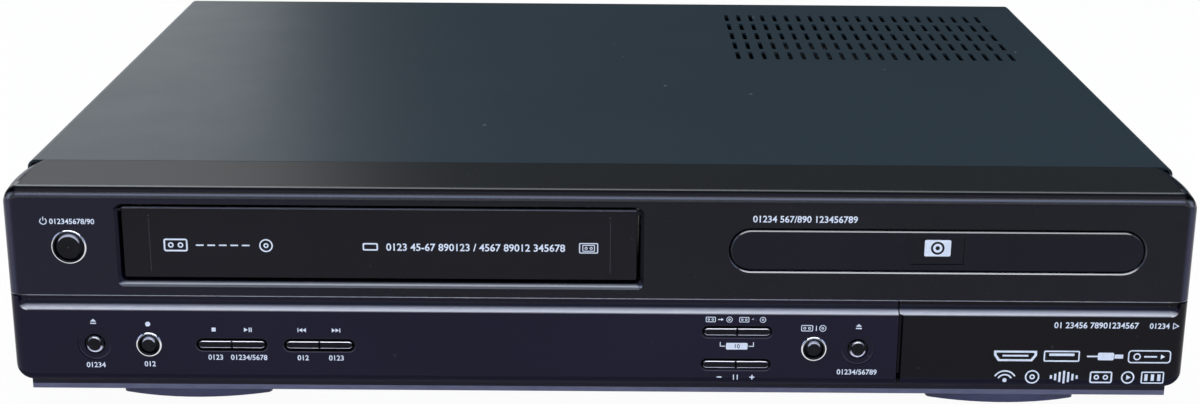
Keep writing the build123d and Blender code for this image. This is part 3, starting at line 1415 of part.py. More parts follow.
with BuildPart() as power_parts:
    for can_x, can_depth, can_radius, can_top in power_cans:
        rod(power_board_x[0] + can_x, power_board_depth[0] + can_depth, (parts_z, can_top), can_radius)
    for block_x, block_depth, block_top in power_blocks:
        block(shifted(block_x, power_board_x[0]), shifted(block_depth, power_board_depth[0]), (parts_z, block_top))
write(power_parts, "power_parts")

with BuildPart() as transformer:
    block(shifted(transformer_core[0], power_board_x[0]), shifted(transformer_core[1], power_board_depth[0]),
        (parts_z + core_rise, transformer_top_z))
    block(shifted(transformer_winding[0], power_board_x[0]), shifted(transformer_winding[1], power_board_depth[0]),
        (parts_z, winding_top_z))
    chamfer(transformer.edges().filter_by(Axis.Z), length=core_bevel)
write(transformer, "transformer")

# Main board, its chips and the heat sink on the largest one
with BuildPart() as main_board:
    block(main_board_x, main_board_depth, (board_z, parts_z))
write(main_board, "main_board")

chip_top_z = parts_z + chips[0][3]
with BuildPart() as main_chips:
    for chip_x, chip_depth, chip_size, chip_height in chips:
        block(centred(main_board_x[0] + chip_x, chip_size), centred(main_board_depth[0] + chip_depth, chip_size),
            (parts_z, parts_z + chip_height))
    sink_depths = shifted(sink_depth, main_board_depth[0])
    block(shifted(sink_x, main_board_x[0]), sink_depths, (chip_top_z, chip_top_z + sink_base))
    for fin in range(sink_fins):
        fin_x = main_board_x[0] + sink_first_fin + sink_fin_pitch * fin
        block(centred(fin_x, sink_fin_width), sink_depths, (chip_top_z, parts_z + sink_top))
write(main_chips, "main_chips")

# Cassette deck: the chassis that carries the reels, drum and capstan
with BuildPart() as deck_chassis:
    block(centred(door_x, 2 * deck_half_width), deck_depths, (deck_z, deck_top_z))
    for post_x in (deck_post_inset - deck_half_width, deck_half_width - deck_post_inset):
        for post_depth in (deck_depths[0] + deck_post_inset, deck_depths[1] - deck_post_inset):
            rod(door_x + post_x, post_depth, (floor_top_z, deck_z + bite), deck_post_radius)
    for reel_name, reel_x in reels:
        rod(reel_x, reel_depth, (deck_z, reel_post_top_z), reel_post_radius)
    rod(capstan_x, capstan_depth, capstan_bush_z, capstan_bush_radius)
    rod(capstan_x, capstan_depth, (capstan_bush_z[0] - past, capstan_bush_z[1] + past),
        capstan_radius + pin_clearance, mode=Mode.SUBTRACT)
    rod(pinch_pivot_x, capstan_depth, (deck_z, pinch_pivot_top_z), pinch_pivot_radius)
    for post_x, post_depth in guide_posts:
        rod(door_x + post_x, post_depth, (deck_z, guide_post_top_z), guide_post_radius)
        rod(door_x + post_x, post_depth, (guide_post_top_z - guide_cap, guide_post_top_z),
            guide_post_radius + guide_cap_margin)
write(deck_chassis, "deck_chassis")

for reel_name, reel_x in reels:
    with BuildPart() as reel:
        rod(reel_x, reel_depth, (reel_base_z, reel_base_z + reel_base), reel_base_radius)
        rod(reel_x, reel_depth, (reel_base_z + reel_base - bite, reel_base_z + reel_step), reel_base_radius / 2)
        rod(reel_x, reel_depth, (reel_base_z + reel_hub_start, reel_top_z), reel_hub_radius)
        for fin in range(reel_fins):
            angle = 2 * math.pi * fin / reel_fins + math.pi / 2
            fin_plane = Plane(origin=(reel_x, at(reel_depth), reel_base_z + reel_hub_start),
                x_dir=(math.cos(angle), math.sin(angle), 0), z_dir=(0, 0, 1))
            with BuildSketch(fin_plane) as fin_outline:
                with Locations((reel_fin_offset, 0)):
                    Rectangle(*reel_fin)
            extrude(fin_outline.sketch, amount=reel_top_z - reel_fin_drop - reel_base_z - reel_hub_start)
        rod(reel_x, reel_depth, (reel_base_z - past, reel_top_z + past), reel_post_radius + pin_clearance,
            mode=Mode.SUBTRACT)
    write(reel, reel_name)

with BuildPart() as capstan:
    rod(capstan_x, capstan_depth, (flywheel_z[0], capstan_top_z), capstan_radius)
    rod(capstan_x, capstan_depth, flywheel_z, flywheel_radius)
    rod(capstan_x, capstan_depth, (flywheel_z[0] - past, flywheel_z[1] - flywheel_web),
        flywheel_radius - flywheel_rim, mode=Mode.SUBTRACT)
    rod(capstan_x, capstan_depth, (flywheel_z[0] - flywheel_boss_drop, flywheel_z[1] - past), flywheel_boss_radius)
write(capstan, "capstan")

with BuildPart() as pinch_arm:
    with BuildSketch(level(arm_z[0])) as arm_outline:
        with BuildLine():
            arm_line = Line((pinch_pivot_x, at(capstan_depth)), (roller_x, at(roller_depth)))
        with Locations(arm_line @ 0.5):
            SlotCenterToCenter(arm_line.length, pinch_arm_width, rotation=pinch_rest_angle)
    extrude(arm_outline.sketch, amount=arm_z[1] - arm_z[0])
    rod(pinch_pivot_x, capstan_depth, (deck_top_z + reel_lift, pinch_boss_top_z), pinch_boss_radius)
    rod(pinch_pivot_x, capstan_depth, (deck_top_z, pinch_pivot_top_z + past), pinch_pivot_radius + pin_clearance,
        mode=Mode.SUBTRACT)
    rod(roller_x, roller_depth, (arm_z[0], roller_z[1] + 0.8), capstan_radius)
write(pinch_arm, "pinch_arm")

with BuildPart() as pinch_roller:
    rod(roller_x, roller_depth, roller_z, roller_radius)
    fillet(pinch_roller.edges(), radius=roller_round)
    rod(roller_x, roller_depth, (roller_z[0] - past, roller_z[1] + past), capstan_radius + pin_clearance,
        mode=Mode.SUBTRACT)
write(pinch_roller, "pinch_roller")

# Drum: a fixed base on the deck and a spinning head on one tilted axis
tilt = math.radians(drum_tilt)
drum_normal = (math.sin(tilt) * 0.5, -math.sin(tilt), math.cos(tilt))
drum_plane = Plane(origin=(door_x, at(drum_depth), drum_origin_z), x_dir=(0, math.cos(tilt), math.sin(tilt)),
    z_dir=drum_normal)


def drum_disc(start, end, radius, mode=Mode.ADD):
    """A round slice of the drum between two heights on its tilted axis."""
    with BuildSketch(drum_plane.offset(start)) as slice_outline:
        Circle(radius)
    extrude(slice_outline.sketch, amount=end - start, mode=mode)


with BuildPart() as head_drum_base:
    block(centred(door_x, 2 * drum_plate_half), centred(drum_depth, 2 * drum_plate_half),
        (deck_top_z, deck_top_z + drum_plate))
    rod(door_x, drum_depth, (deck_top_z, drum_origin_z + 6.0), drum_radius - drum_rim)
    drum_disc(0, drum_base_height, drum_radius)
    drum_disc(-past, drum_base_height + past, drum_shaft_radius + pin_clearance, mode=Mode.SUBTRACT)
write(head_drum_base, "head_drum_base")

with BuildPart() as head_drum:
    drum_top = drum_base_height + drum_head_height
    drum_disc(drum_base_height + drum_gap, drum_top, drum_radius)
    drum_disc(drum_top - past, drum_top + drum_cap_rise, drum_radius / 2)
    drum_disc(drum_base_height, drum_base_height + 2.2, drum_radius - drum_rim, mode=Mode.SUBTRACT)
    drum_disc(bite, drum_base_height + 4.0, drum_shaft_radius)
    # Head windows in the rim
    for window in range(drum_windows):
        angle = 2 * math.pi * (window + 0.5) / drum_windows
        with BuildSketch(drum_plane.offset(drum_base_height)) as window_outline:
            with Locations((drum_radius * math.cos(angle), drum_radius * math.sin(angle))):
                Rectangle(drum_window, drum_window, rotation=45)
        extrude(window_outline.sketch, amount=2.0, mode=Mode.SUBTRACT)
write(head_drum, "head_drum")

# Housing that guides the carrier, and the carrier that takes the cassette down
with BuildPart() as cassette_housing:
    for side in (-1, 1):
        plate_x = sorted((door_x + side * housing_half_width, door_x + side * (housing_half_width - carrier_sheet)))
        block(plate_x, (deck_depths[0] + past, carrier_depths[1] + 2 * past), (deck_top_z, housing_top_z))
        for pin_depth in carrier_pin_depths:
            with BuildSketch(Plane.YZ.offset(plate_x[0] - past)) as guide_slot:
                with Locations((at(pin_depth), carrier_pin_z - carrier_drop / 2)):
                    SlotCenterToCenter(carrier_drop + 4 * carrier_pin_clearance,
                        2 * (carrier_pin_radius + carrier_pin_clearance), rotation=90)
            extrude(guide_slot.sketch, amount=carrier_sheet + 2 * past, mode=Mode.SUBTRACT)
    for bridge_depths in housing_bridges:
        block(centred(door_x, 2 * housing_half_width), bridge_depths, (housing_top_z - carrier_sheet, housing_top_z))
write(cassette_housing, "cassette_housing")

with BuildPart() as cassette_carrier:
    for side in (-1, 1):
        outer_x = door_x + side * carrier_half_width
        block(sorted((outer_x, outer_x - side * carrier_sheet)), carrier_depths, (carrier_bottom_z, carrier_top_z))
        block(sorted((outer_x, outer_x - side * carrier_ledge)), carrier_depths,
            (carrier_bottom_z, carrier_bottom_z + carrier_sheet))
        pin_end_x = door_x + side * (housing_half_width + carrier_pin_reach)
        for pin_depth in carrier_pin_depths:
            rod(sorted((outer_x - side * bite, pin_end_x)), pin_depth, carrier_pin_z, carrier_pin_radius, axis="X")
    block(centred(door_x, 2 * carrier_half_width), carrier_depths, (carrier_top_z - carrier_sheet, carrier_top_z))
    block(shifted(carrier_window[0], door_x), carrier_window[1],
        (carrier_top_z - carrier_sheet - past, carrier_top_z + past), mode=Mode.SUBTRACT)
write(cassette_carrier, "cassette_carrier")

# Disc drive's frame, with its rails, bridge and the pinion's post
drive_span = centred(tray_x, 2 * drive_half_width)
with BuildPart() as drive_frame:
    block(drive_span, drive_depths, (drive_floor_z, drive_floor_z + drive_floor))
    block(centred(tray_x, 2 * drive_window_half), drive_window_depths,
        (drive_floor_z - past, drive_floor_z + drive_floor + past), mode=Mode.SUBTRACT)
    block(drive_span, (drive_depths[1] - drive_wall, drive_depths[1]), (drive_floor_z, drive_back_z))
    lower_rail_top = runner_bottom_z - rail_clearance
    upper_rail_bottom = runner_top_z + rail_clearance
    rail_depths = (drive_depths[0], tray_rear_depth + rail_overrun)
    for side in (-1, 1):
        outer_x = tray_x + side * drive_half_width
        block(sorted((outer_x, outer_x - side * drive_wall)), drive_depths, (drive_floor_z, drive_wall_z))
        rail_x = sorted((tray_x + side * (tray_width / 2 + rail_gap), outer_x - side * bite))
        block(rail_x, rail_depths, (lower_rail_top - rail_thickness, lower_rail_top))
        block(rail_x, rail_depths, (upper_rail_bottom, upper_rail_bottom + rail_thickness))
        for leg_depth in (drive_front_leg_depth, drive_depths[1] - drive_rear_leg_inset):
            rod(outer_x - side * drive_leg_inset, leg_depth, (floor_top_z, drive_floor_z + bite), drive_leg_radius)
    block(drive_span, centred(disc_depth, 2 * bridge_half_depth), bridge_z)
    rod(tray_x, disc_depth, (bridge_z[0] - past, bridge_z[1] + past), clamp_hole_radius, mode=Mode.SUBTRACT)
    rod(pinion_x, pinion_depth, (drive_floor_z, pinion_z[1] + 0.3), pinion_pin_radius)
    rod(pinion_x, pinion_depth, (drive_floor_z, pinion_z[0] - 0.3), pinion_collar_radius)
write(drive_frame, "drive_frame")

with BuildPart() as drive_cover:
    cover_inner_half = drive_half_width + drive_cover_gap
    block(centred(tray_x, 2 * (cover_inner_half + drive_sheet)),
        (drive_depths[0] + 2 * past, drive_depths[1] + drive_cover_gap + drive_sheet),
        (drive_cover_z, drive_cover_top_z))
    block(centred(tray_x, 2 * cover_inner_half), (0, drive_depths[1] + drive_cover_gap),
        (drive_cover_z - past, drive_cover_top_z - drive_sheet), mode=Mode.SUBTRACT)
    with BuildSketch(level(drive_cover_top_z)) as stamping:
        with Locations((tray_x, at(disc_depth + stamp_setback))):
            RectangleRounded(stamp_size[0], stamp_size[1], stamp_corner)
            RectangleRounded(stamp_size[0] - 2 * stamp_line, stamp_size[1] - 2 * stamp_line,
                stamp_corner - stamp_line, mode=Mode.SUBTRACT)
    extrude(stamping.sketch, amount=-stamp_depth, mode=Mode.SUBTRACT)
write(drive_cover, "drive_cover")

# Loading pinion, in mesh with the tray's rack
with BuildPart() as loading_pinion:
    root_radius = pinion_radius - pinion_root_depth
    rod(pinion_x, pinion_depth, pinion_z, root_radius)
    for tooth in range(pinion_teeth):
        angle = math.pi + 2 * math.pi / pinion_teeth * tooth
        tooth_plane = Plane(origin=(pinion_x, at(pinion_depth), pinion_z[0]),
            x_dir=(math.cos(angle), math.sin(angle), 0), z_dir=(0, 0, 1))
        with BuildSketch(tooth_plane) as tooth_outline:
            with Locations((root_radius - 0.2, 0)):
                Trapezoid(tooth_width * 1.25, 0.2 + pinion_root_depth + tooth_height, 78, rotation=-90,
                    align=(Align.CENTER, Align.MIN))
        extrude(tooth_outline.sketch, amount=pinion_z[1] - pinion_z[0])
    rod(pinion_x, pinion_depth, (pinion_z[0] - past, pinion_z[1] + past), pinion_pin_radius + pin_clearance,
        mode=Mode.SUBTRACT)
write(loading_pinion, "loading_pinion")

# Traverse that lifts the spindle and the pickup to the disc
rod_span = (sled_rod_depths[0] + rod_seat, sled_rod_depths[1] - rod_seat)
with BuildPart() as traverse_frame:
    block(centred(tray_x, 2 * traverse_half_width), traverse_depths, traverse_z)
    block(centred(tray_x, 2 * (sled_half_width + traverse_window_margin)), traverse_window_depths,
        (traverse_z[0] - past, traverse_z[1] + past), mode=Mode.SUBTRACT)
    rod(tray_x, disc_depth, (traverse_z[0], spindle_can_top_z), spindle_can_radius)
    for side in (-1, 1):
        rod_x = tray_x + side * sled_rod_x
        for block_start in (sled_rod_depths[0], sled_rod_depths[1] - rod_block):
            block(centred(rod_x, 2 * rod_block_half), (block_start, block_start + rod_block),
                (traverse_z[1] - 0.2, rod_block_top_z))
        rod(rod_x, rod_span, sled_rod_z, sled_rod_radius, axis="Y", mode=Mode.SUBTRACT)
        foot_x_place = tray_x + side * (traverse_half_width - traverse_foot_inset)
        for foot_depth in (traverse_depths[0] + traverse_foot_setback, traverse_depths[1] - traverse_foot_setback):
            rod(foot_x_place, foot_depth, (drive_floor_z + drive_floor + traverse_rest_gap, traverse_z[0] + 0.2),
                traverse_foot_radius)
    rod(tray_x, disc_depth, (traverse_z[0] + past, spindle_can_top_z + past), spindle_radius + pin_clearance,
        mode=Mode.SUBTRACT)
write(traverse_frame, "traverse_frame")

with BuildPart() as turntable:
    rod(tray_x, disc_depth, turntable_z, turntable_radius)
    with BuildSketch(level(turntable_z[1] - 0.2)) as cone_outline:
        with Locations((tray_x, at(disc_depth))):
            Circle(hub_cone_radius)
    extrude(cone_outline.sketch, amount=hub_top_z - turntable_z[1] + 0.2, taper=hub_cone_taper)
    rod(tray_x, disc_depth, (traverse_z[0] + spindle_lift, turntable_z[0] + bite), spindle_radius)
write(turntable, "turntable")

with BuildPart() as guide_rods:
    for side in (-1, 1):
        rod(tray_x + side * sled_rod_x, rod_span, sled_rod_z, sled_rod_radius, axis="Y")
write(guide_rods, "guide_rods")

with BuildPart() as pickup_sled:
    block(centred(tray_x, 2 * sled_half_width), sled_depths, sled_z)
    chamfer(pickup_sled.edges().filter_by(Axis.Z), length=sled_bevel)
    for side in (-1, 1):
        rod(tray_x + side * sled_rod_x, (sled_depths[0] - past, sled_depths[1] + past), sled_rod_z,
            sled_rod_radius + pin_clearance, axis="Y", mode=Mode.SUBTRACT)
    block(centred(tray_x, 2 * actuator_half), shifted(actuator_span, lens_depth),
        (sled_z[1] - 0.2, sled_z[1] + actuator_rise))
    rod(tray_x, lens_depth, (sled_z[1], sled_z[1] + lens_rise), lens_radius)
    fillet(pickup_sled.faces().sort_by(Axis.Z)[-1].edges(), radius=lens_round)
write(pickup_sled, "pickup_sled")

# Disc clamp, hung loosely through the bridge's hole
with BuildPart() as disc_clamp:
    rod(tray_x, disc_depth, clamp_flange_z, clamp_hole_radius + clamp_flange)
    rod(tray_x, disc_depth, (clamp_foot_z, clamp_flange_z[0] + 0.3), clamp_hole_radius - clamp_hole_gap)
    rod(tray_x, disc_depth, (clamp_bottom_z, bridge_z[0]), hub_cone_radius + 1.5, mode=Mode.SUBTRACT)
write(disc_clamp, "disc_clamp")
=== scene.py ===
import math

import bmesh
import bpy
from mathutils import Matrix, Vector


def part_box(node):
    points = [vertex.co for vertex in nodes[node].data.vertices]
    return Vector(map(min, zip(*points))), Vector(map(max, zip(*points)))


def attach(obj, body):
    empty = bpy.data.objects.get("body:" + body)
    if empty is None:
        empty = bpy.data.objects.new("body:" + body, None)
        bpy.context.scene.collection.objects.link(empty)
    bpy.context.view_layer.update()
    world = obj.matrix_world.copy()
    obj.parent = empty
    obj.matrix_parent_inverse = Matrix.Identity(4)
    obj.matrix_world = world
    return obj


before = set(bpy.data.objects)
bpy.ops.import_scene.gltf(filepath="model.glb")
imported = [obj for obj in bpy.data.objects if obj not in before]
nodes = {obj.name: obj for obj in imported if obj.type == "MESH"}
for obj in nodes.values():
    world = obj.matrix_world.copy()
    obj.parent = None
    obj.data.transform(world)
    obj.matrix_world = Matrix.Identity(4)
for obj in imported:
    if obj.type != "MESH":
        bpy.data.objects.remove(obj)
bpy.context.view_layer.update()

scene = bpy.context.scene
mm = 0.001


def middle(node):
    low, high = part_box(node)
    return (low + high) / 2


# First and last millimetre of a piece along an axis
def ends(node, axis):
    return [getattr(corner, axis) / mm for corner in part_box(node)]


# Camera at the photograph's viewing angle
cameraView = {
    "place": (-1.9, -843.4, 289.8),  # millimetres, from the middle of the case
    "pitch": 17.068,
    "yaw": 0.146,
    "roll": -0.438,
    "lens": 58.43,
}


def addCamera(values):
    pitch, yaw, roll = (math.radians(values[key]) for key in ("pitch", "yaw", "roll"))
    forward = Vector((math.sin(yaw) * math.cos(pitch), math.cos(yaw) * math.cos(pitch), -math.sin(pitch)))
    right = Vector((math.cos(yaw), -math.sin(yaw), 0))
    down = forward.cross(right)
    rolledRight = right * math.cos(roll) + down * math.sin(roll)
    rolledDown = -right * math.sin(roll) + down * math.cos(roll)
    data = bpy.data.cameras.new("camera")
    data.lens = values["lens"]
    data.sensor_width = 36
    data.clip_start = 0.05
    data.clip_end = 50
    camera = bpy.data.objects.new("camera", data)
    turn = Matrix((rolledRight, -rolledDown, -forward)).transposed().to_4x4()
    camera.matrix_world = Matrix.Translation(Vector(values["place"]) * mm) @ turn
    scene.collection.objects.link(camera)
    scene.camera = camera


addCamera(cameraView)
scene.view_settings.view_transform = "Standard"
print("camera placed")


# Light: soft boxes over, before, beside and behind the object, and a dim even surround
surround = {"color": (0.55, 0.80, 1.0), "strength": 0.10}
softBoxes = {
    # place, aim and size in metres, power in watts, white where no color is given
    "keyStrip": {"place": (0.0, -0.65, 1.6), "aim": (0, -0.1, 0), "size": (2.6, 0.8), "power": 22},
    "overhead": {"place": (0.0, 0.35, 1.7), "aim": (0, 0.1, 0), "size": (2.6, 1.5), "power": 11},
    "frontSky": {"place": (0.0, -1.7, 1.15), "aim": (0, 0, 0.05), "size": (2.6, 0.7), "power": 10,
                 "color": (0.50, 0.60, 1.0)},
    "leftSky": {"place": (-1.5, -0.5, 0.6), "aim": (0, 0, 0.05), "size": (0.8, 0.9), "power": 3.6,
                "color": (0.55, 0.66, 1.0)},
    "rightSky": {"place": (1.5, -0.5, 0.6), "aim": (0, 0, 0.05), "size": (0.8, 0.9), "power": 3.4,
                 "color": (0.55, 0.66, 1.0)},
    "coverSheen": {"place": (-1.0, 2.0, 0.56), "aim": (0, 0, 0.08), "size": (1.1, 0.8), "power": 3.7,
                   "color": (0.95, 0.98, 1.0)},
    "rampSheen": {"place": (-1.0, 1.9, 1.75), "aim": (0, -0.16, 0.085), "size": (1.1, 0.5), "power": 4.2,
                  "color": (0.97, 0.98, 1.0)},
}


def addSoftBox(name, values):
    light = bpy.data.lights.new(name, "AREA")
    light.shape = "RECTANGLE"
    light.size, light.size_y = values["size"]
    light.energy = values["power"]
    light.color = values.get("color", (1, 1, 1))
    lamp = bpy.data.objects.new(name, light)
    place = Vector(values["place"])
    lamp.location = place
    lamp.rotation_euler = (Vector(values["aim"]) - place).to_track_quat("-Z", "Y").to_euler()
    scene.collection.objects.link(lamp)


def addSurround(values):
    world = bpy.data.worlds.new("surround")
    world.use_nodes = True
    background = world.node_tree.nodes["Background"]
    background.inputs["Color"].default_value = (*values["color"], 1)
    background.inputs["Strength"].default_value = values["strength"]
    scene.world = world


addSurround(surround)
for boxName, boxValues in softBoxes.items():
    addSoftBox(boxName, boxValues)
print("lights placed")


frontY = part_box("lower_fascia")[0].y


# Node helpers for the materials. Every pattern uses object coordinates, in metres.
class Finish:
    def __init__(self, name):
        self.material = bpy.data.materials.new(name)
        self.material.use_nodes = True
        self.tree = self.material.node_tree
        self.shader = self.tree.nodes["Principled BSDF"]
        coordinates = self.tree.nodes.new("ShaderNodeTexCoord")
        self.place = coordinates.outputs["Object"]
        self.parts = {}
        for label, source in (("place", self.place), ("facing", coordinates.outputs["Normal"])):
            split = self.tree.nodes.new("ShaderNodeSeparateXYZ")
            self.link(source, split.inputs[0])
            self.parts[label] = {axis: split.outputs[axis.upper()] for axis in "xyz"}

    def add(self, kind, **settings):
        node = self.tree.nodes.new(kind)
        for key, value in settings.items():
            setattr(node, key, value)
        return node

    def link(self, source, target):
        self.tree.links.new(source, target)

    def set(self, **values):
        for key, value in values.items():
            self.shader.inputs[key.replace("_", " ")].default_value = value

    def stretched(self, scale):
        mapping = self.add("ShaderNodeMapping")
        mapping.inputs["Scale"].default_value = scale
        self.link(self.place, mapping.inputs["Vector"])
        return mapping.outputs["Vector"]

    def noise(self, scale, detail, roughness=0.5, vector=None):
        node = self.add("ShaderNodeTexNoise")
        node.inputs["Scale"].default_value = scale
        node.inputs["Detail"].default_value = detail
        node.inputs["Roughness"].default_value = roughness
        self.link(vector or self.place, node.inputs["Vector"])
        return node.outputs["Fac"]

    def cells(self, scale, feature="F1", output="Distance"):
        node = self.add("ShaderNodeTexVoronoi", feature=feature)
        node.inputs["Scale"].default_value = scale
        self.link(self.place, node.inputs["Vector"])
        return node.outputs[output]

    def remap(self, source, low, high, start=0.35, end=0.65):
        node = self.add("ShaderNodeMapRange")
        self.link(source, node.inputs["Value"])
        node.inputs["From Min"].default_value = start
        node.inputs["From Max"].default_value = end
        node.inputs["To Min"].default_value = low
        node.inputs["To Max"].default_value = high
        return node.outputs["Result"]

    def blend(self, factor, first, second):
        node = self.add("ShaderNodeMix", data_type="RGBA")
        self.link(factor, node.inputs["Factor"])
        for socket, value in ((node.inputs[6], first), (node.inputs[7], second)):
            if isinstance(value, tuple):
                socket.default_value = (*value, 1)
            else:
                self.link(value, socket)
        return node.outputs[2]

    def math(self, operation, first, second):
        node = self.add("ShaderNodeMath", operation=operation)
        for socket, value in ((node.inputs[0], first), (node.inputs[1], second)):
            if isinstance(value, (int, float)):
                socket.default_value = value
            else:
                self.link(value, socket)
        return node.outputs[0]

    def join(self, operation, masks):
        joined = masks[0]
        for mask in masks[1:]:
            joined = self.math(operation, joined, mask)
        return joined

    def color(self, source):
        self.link(source, self.shader.inputs["Base Color"])

    # Tone that drifts between two colours, and gloss that drifts between two values
    def drift(self, scale, detail, values):
        return self.blend(self.remap(self.noise(scale, detail), 0, 1), values["color"], values["second"])

    def gloss(self, scale, detail, limits):
        self.link(self.remap(self.noise(scale, detail), *limits), self.shader.inputs["Roughness"])

    # A mask over a region: limits in millimetres along an axis, and ramps of the way the surface faces
    def region(self, limits, facing=()):
        masks = []
        for axis, (low, high) in limits.items():
            source = self.parts["place"][axis]
            masks.append(self.math("GREATER_THAN", source, low * mm))
            masks.append(self.math("LESS_THAN", source, high * mm))
        for axis, start, end in facing:
            source = self.parts["facing"][axis[0]]
            if axis.endswith("size"):
                source = self.math("ABSOLUTE", source, 0.0)
            masks.append(self.remap(source, 0, 1, start, end))
        return self.join("MULTIPLY", masks)

    # A mask over a round or a long oval seen from the front, in millimetres about a centre in metres
    def oval(self, centre, halfLength, radius, soft=0.3):
        across = self.math("SUBTRACT", self.parts["place"]["x"], centre.x)
        across = self.math("ABSOLUTE", across, 0.0)
        across = self.math("MAXIMUM", self.math("SUBTRACT", across, halfLength * mm), 0.0)
        up = self.math("SUBTRACT", self.parts["place"]["z"], centre.z)
        square = self.math("ADD", self.math("MULTIPLY", across, across), self.math("MULTIPLY", up, up))
        distance = self.math("SQRT", square, 0.0)
        return self.remap(distance, 1, 0, (radius - soft) * mm, radius * mm)

    # Another colour and gloss laid over what the shader has so far, where the mask is white
    def accent(self, mask, color, rough, metallic=1.0):
        for socketName, value in (("Base Color", color), ("Roughness", rough), ("Metallic", metallic)):
            socket = self.shader.inputs[socketName]
            before = socket.links[0].from_socket if socket.is_linked else socket.default_value
            if socketName == "Base Color":
                under = before if socket.is_linked else tuple(before)[:3]
                self.link(self.blend(mask, under, value), socket)
            else:
                node = self.add("ShaderNodeMix", data_type="FLOAT")
                self.link(mask, node.inputs[0])
                if socket.is_linked:
                    self.link(before, node.inputs[2])
                else:
                    node.inputs[2].default_value = before
                node.inputs[3].default_value = value
                self.link(node.outputs[0], socket)

    def bump(self, height, distance):
        node = self.add("ShaderNodeBump")
        node.inputs["Distance"].default_value = distance
        self.link(height, node.inputs["Height"])
        previous = self.shader.inputs["Normal"]
        if previous.is_linked:
            self.link(previous.links[0].from_socket, node.inputs["Normal"])
        self.link(node.outputs["Normal"], previous)


def dress(finish, *names):
    for name in names:
        slots = nodes[name].data.materials
        slots.clear()
        slots.append(finish.material)


# Moulded plastic: a spark-eroded grain, slow changes of tone, a little dust
moulding = {"toneScale": 22, "roughScale": 60, "dustColor": (0.32, 0.33, 0.34), "dustReach": 0.055}


def plastic(name, values):
    finish = Finish(name)
    finish.set(Specular_IOR_Level=values["specular"])
    base = finish.drift(values.get("toneScale", moulding["toneScale"]), 4, values)
    if values.get("dust"):
        spots = finish.cells(values["dustScale"])
        speck = finish.remap(spots, values["dust"], 0, 0.0, moulding["dustReach"])
        base = finish.blend(speck, base, moulding["dustColor"])
    finish.color(base)
    finish.gloss(moulding["roughScale"], 5, values["rough"])
    finish.bump(finish.noise(values["grainScale"], 2, 0.6), values["grainDepth"] * mm)
    if values.get("wave"):
        finish.bump(finish.noise(values["waveScale"], 1), values["wave"] * mm)
    return finish


upperPlastic = {
    "color": (0.0050, 0.0051, 0.0094), "second": (0.0064, 0.0065, 0.0114), "specular": 0.18,
    "rough": (0.22, 0.30), "grainScale": 5200, "grainDepth": 0.003, "dust": 0.12, "dustScale": 60,
}
doorPlastic = {
    "color": (0.0054, 0.0047, 0.0086), "second": (0.0064, 0.0057, 0.0100), "specular": 0.15,
    "rough": (0.18, 0.26), "grainScale": 4200, "grainDepth": 0.002, "dust": 0.10, "dustScale": 70,
}
trayPlastic = {
    **doorPlastic, "color": (0.0040, 0.0042, 0.0100), "second": (0.0052, 0.0056, 0.0122),
    "specular": 0.16, "rough": (0.14, 0.22),
}
fasciaGloss = {
    "color": (0.0056, 0.0040, 0.0185), "second": (0.0078, 0.0058, 0.0235), "specular": 0.15,
    "rough": (0.05, 0.10), "grainScale": 900, "grainDepth": 0.0003, "wave": 0.003, "waveScale": 55,
    "dust": 0.14, "dustScale": 80, "toneScale": 9,
}
flapGloss = {
    **fasciaGloss, "color": (0.0030, 0.0027, 0.0050), "second": (0.0044, 0.0040, 0.0068),
    "specular": 0.13, "rough": (0.06, 0.11),
}
footPlastic = {
    "color": (0.078, 0.080, 0.150), "second": (0.100, 0.102, 0.190), "specular": 0.4,
    "rough": (0.35, 0.5), "grainScale": 2600, "grainDepth": 0.02,
}
mouldedBlack = {
    "color": (0.010, 0.010, 0.011), "second": (0.016, 0.016, 0.017), "specular": 0.4,
    "rough": (0.38, 0.55), "grainScale": 2600, "grainDepth": 0.015,
}
naturalWhite = {
    "color": (0.62, 0.60, 0.54), "second": (0.70, 0.68, 0.62), "specular": 0.45,
    "rough": (0.35, 0.48), "grainScale": 1800, "grainDepth": 0.01,
}
driveBlack = {
    "color": (0.012, 0.012, 0.013), "second": (0.020, 0.020, 0.021), "specular": 0.45,
    "rough": (0.30, 0.42), "grainScale": 3000, "grainDepth": 0.01,
}
padRubber = {
    "color": (0.012, 0.012, 0.012), "second": (0.022, 0.021, 0.020), "specular": 0.25,
    "rough": (0.7, 0.9), "grainScale": 1500, "grainDepth": 0.05,
}
chipPlastic = {
    "color": (0.014, 0.014, 0.015), "second": (0.024, 0.024, 0.025), "specular": 0.4,
    "rough": (0.4, 0.6), "grainScale": 5000, "grainDepth": 0.008,
}

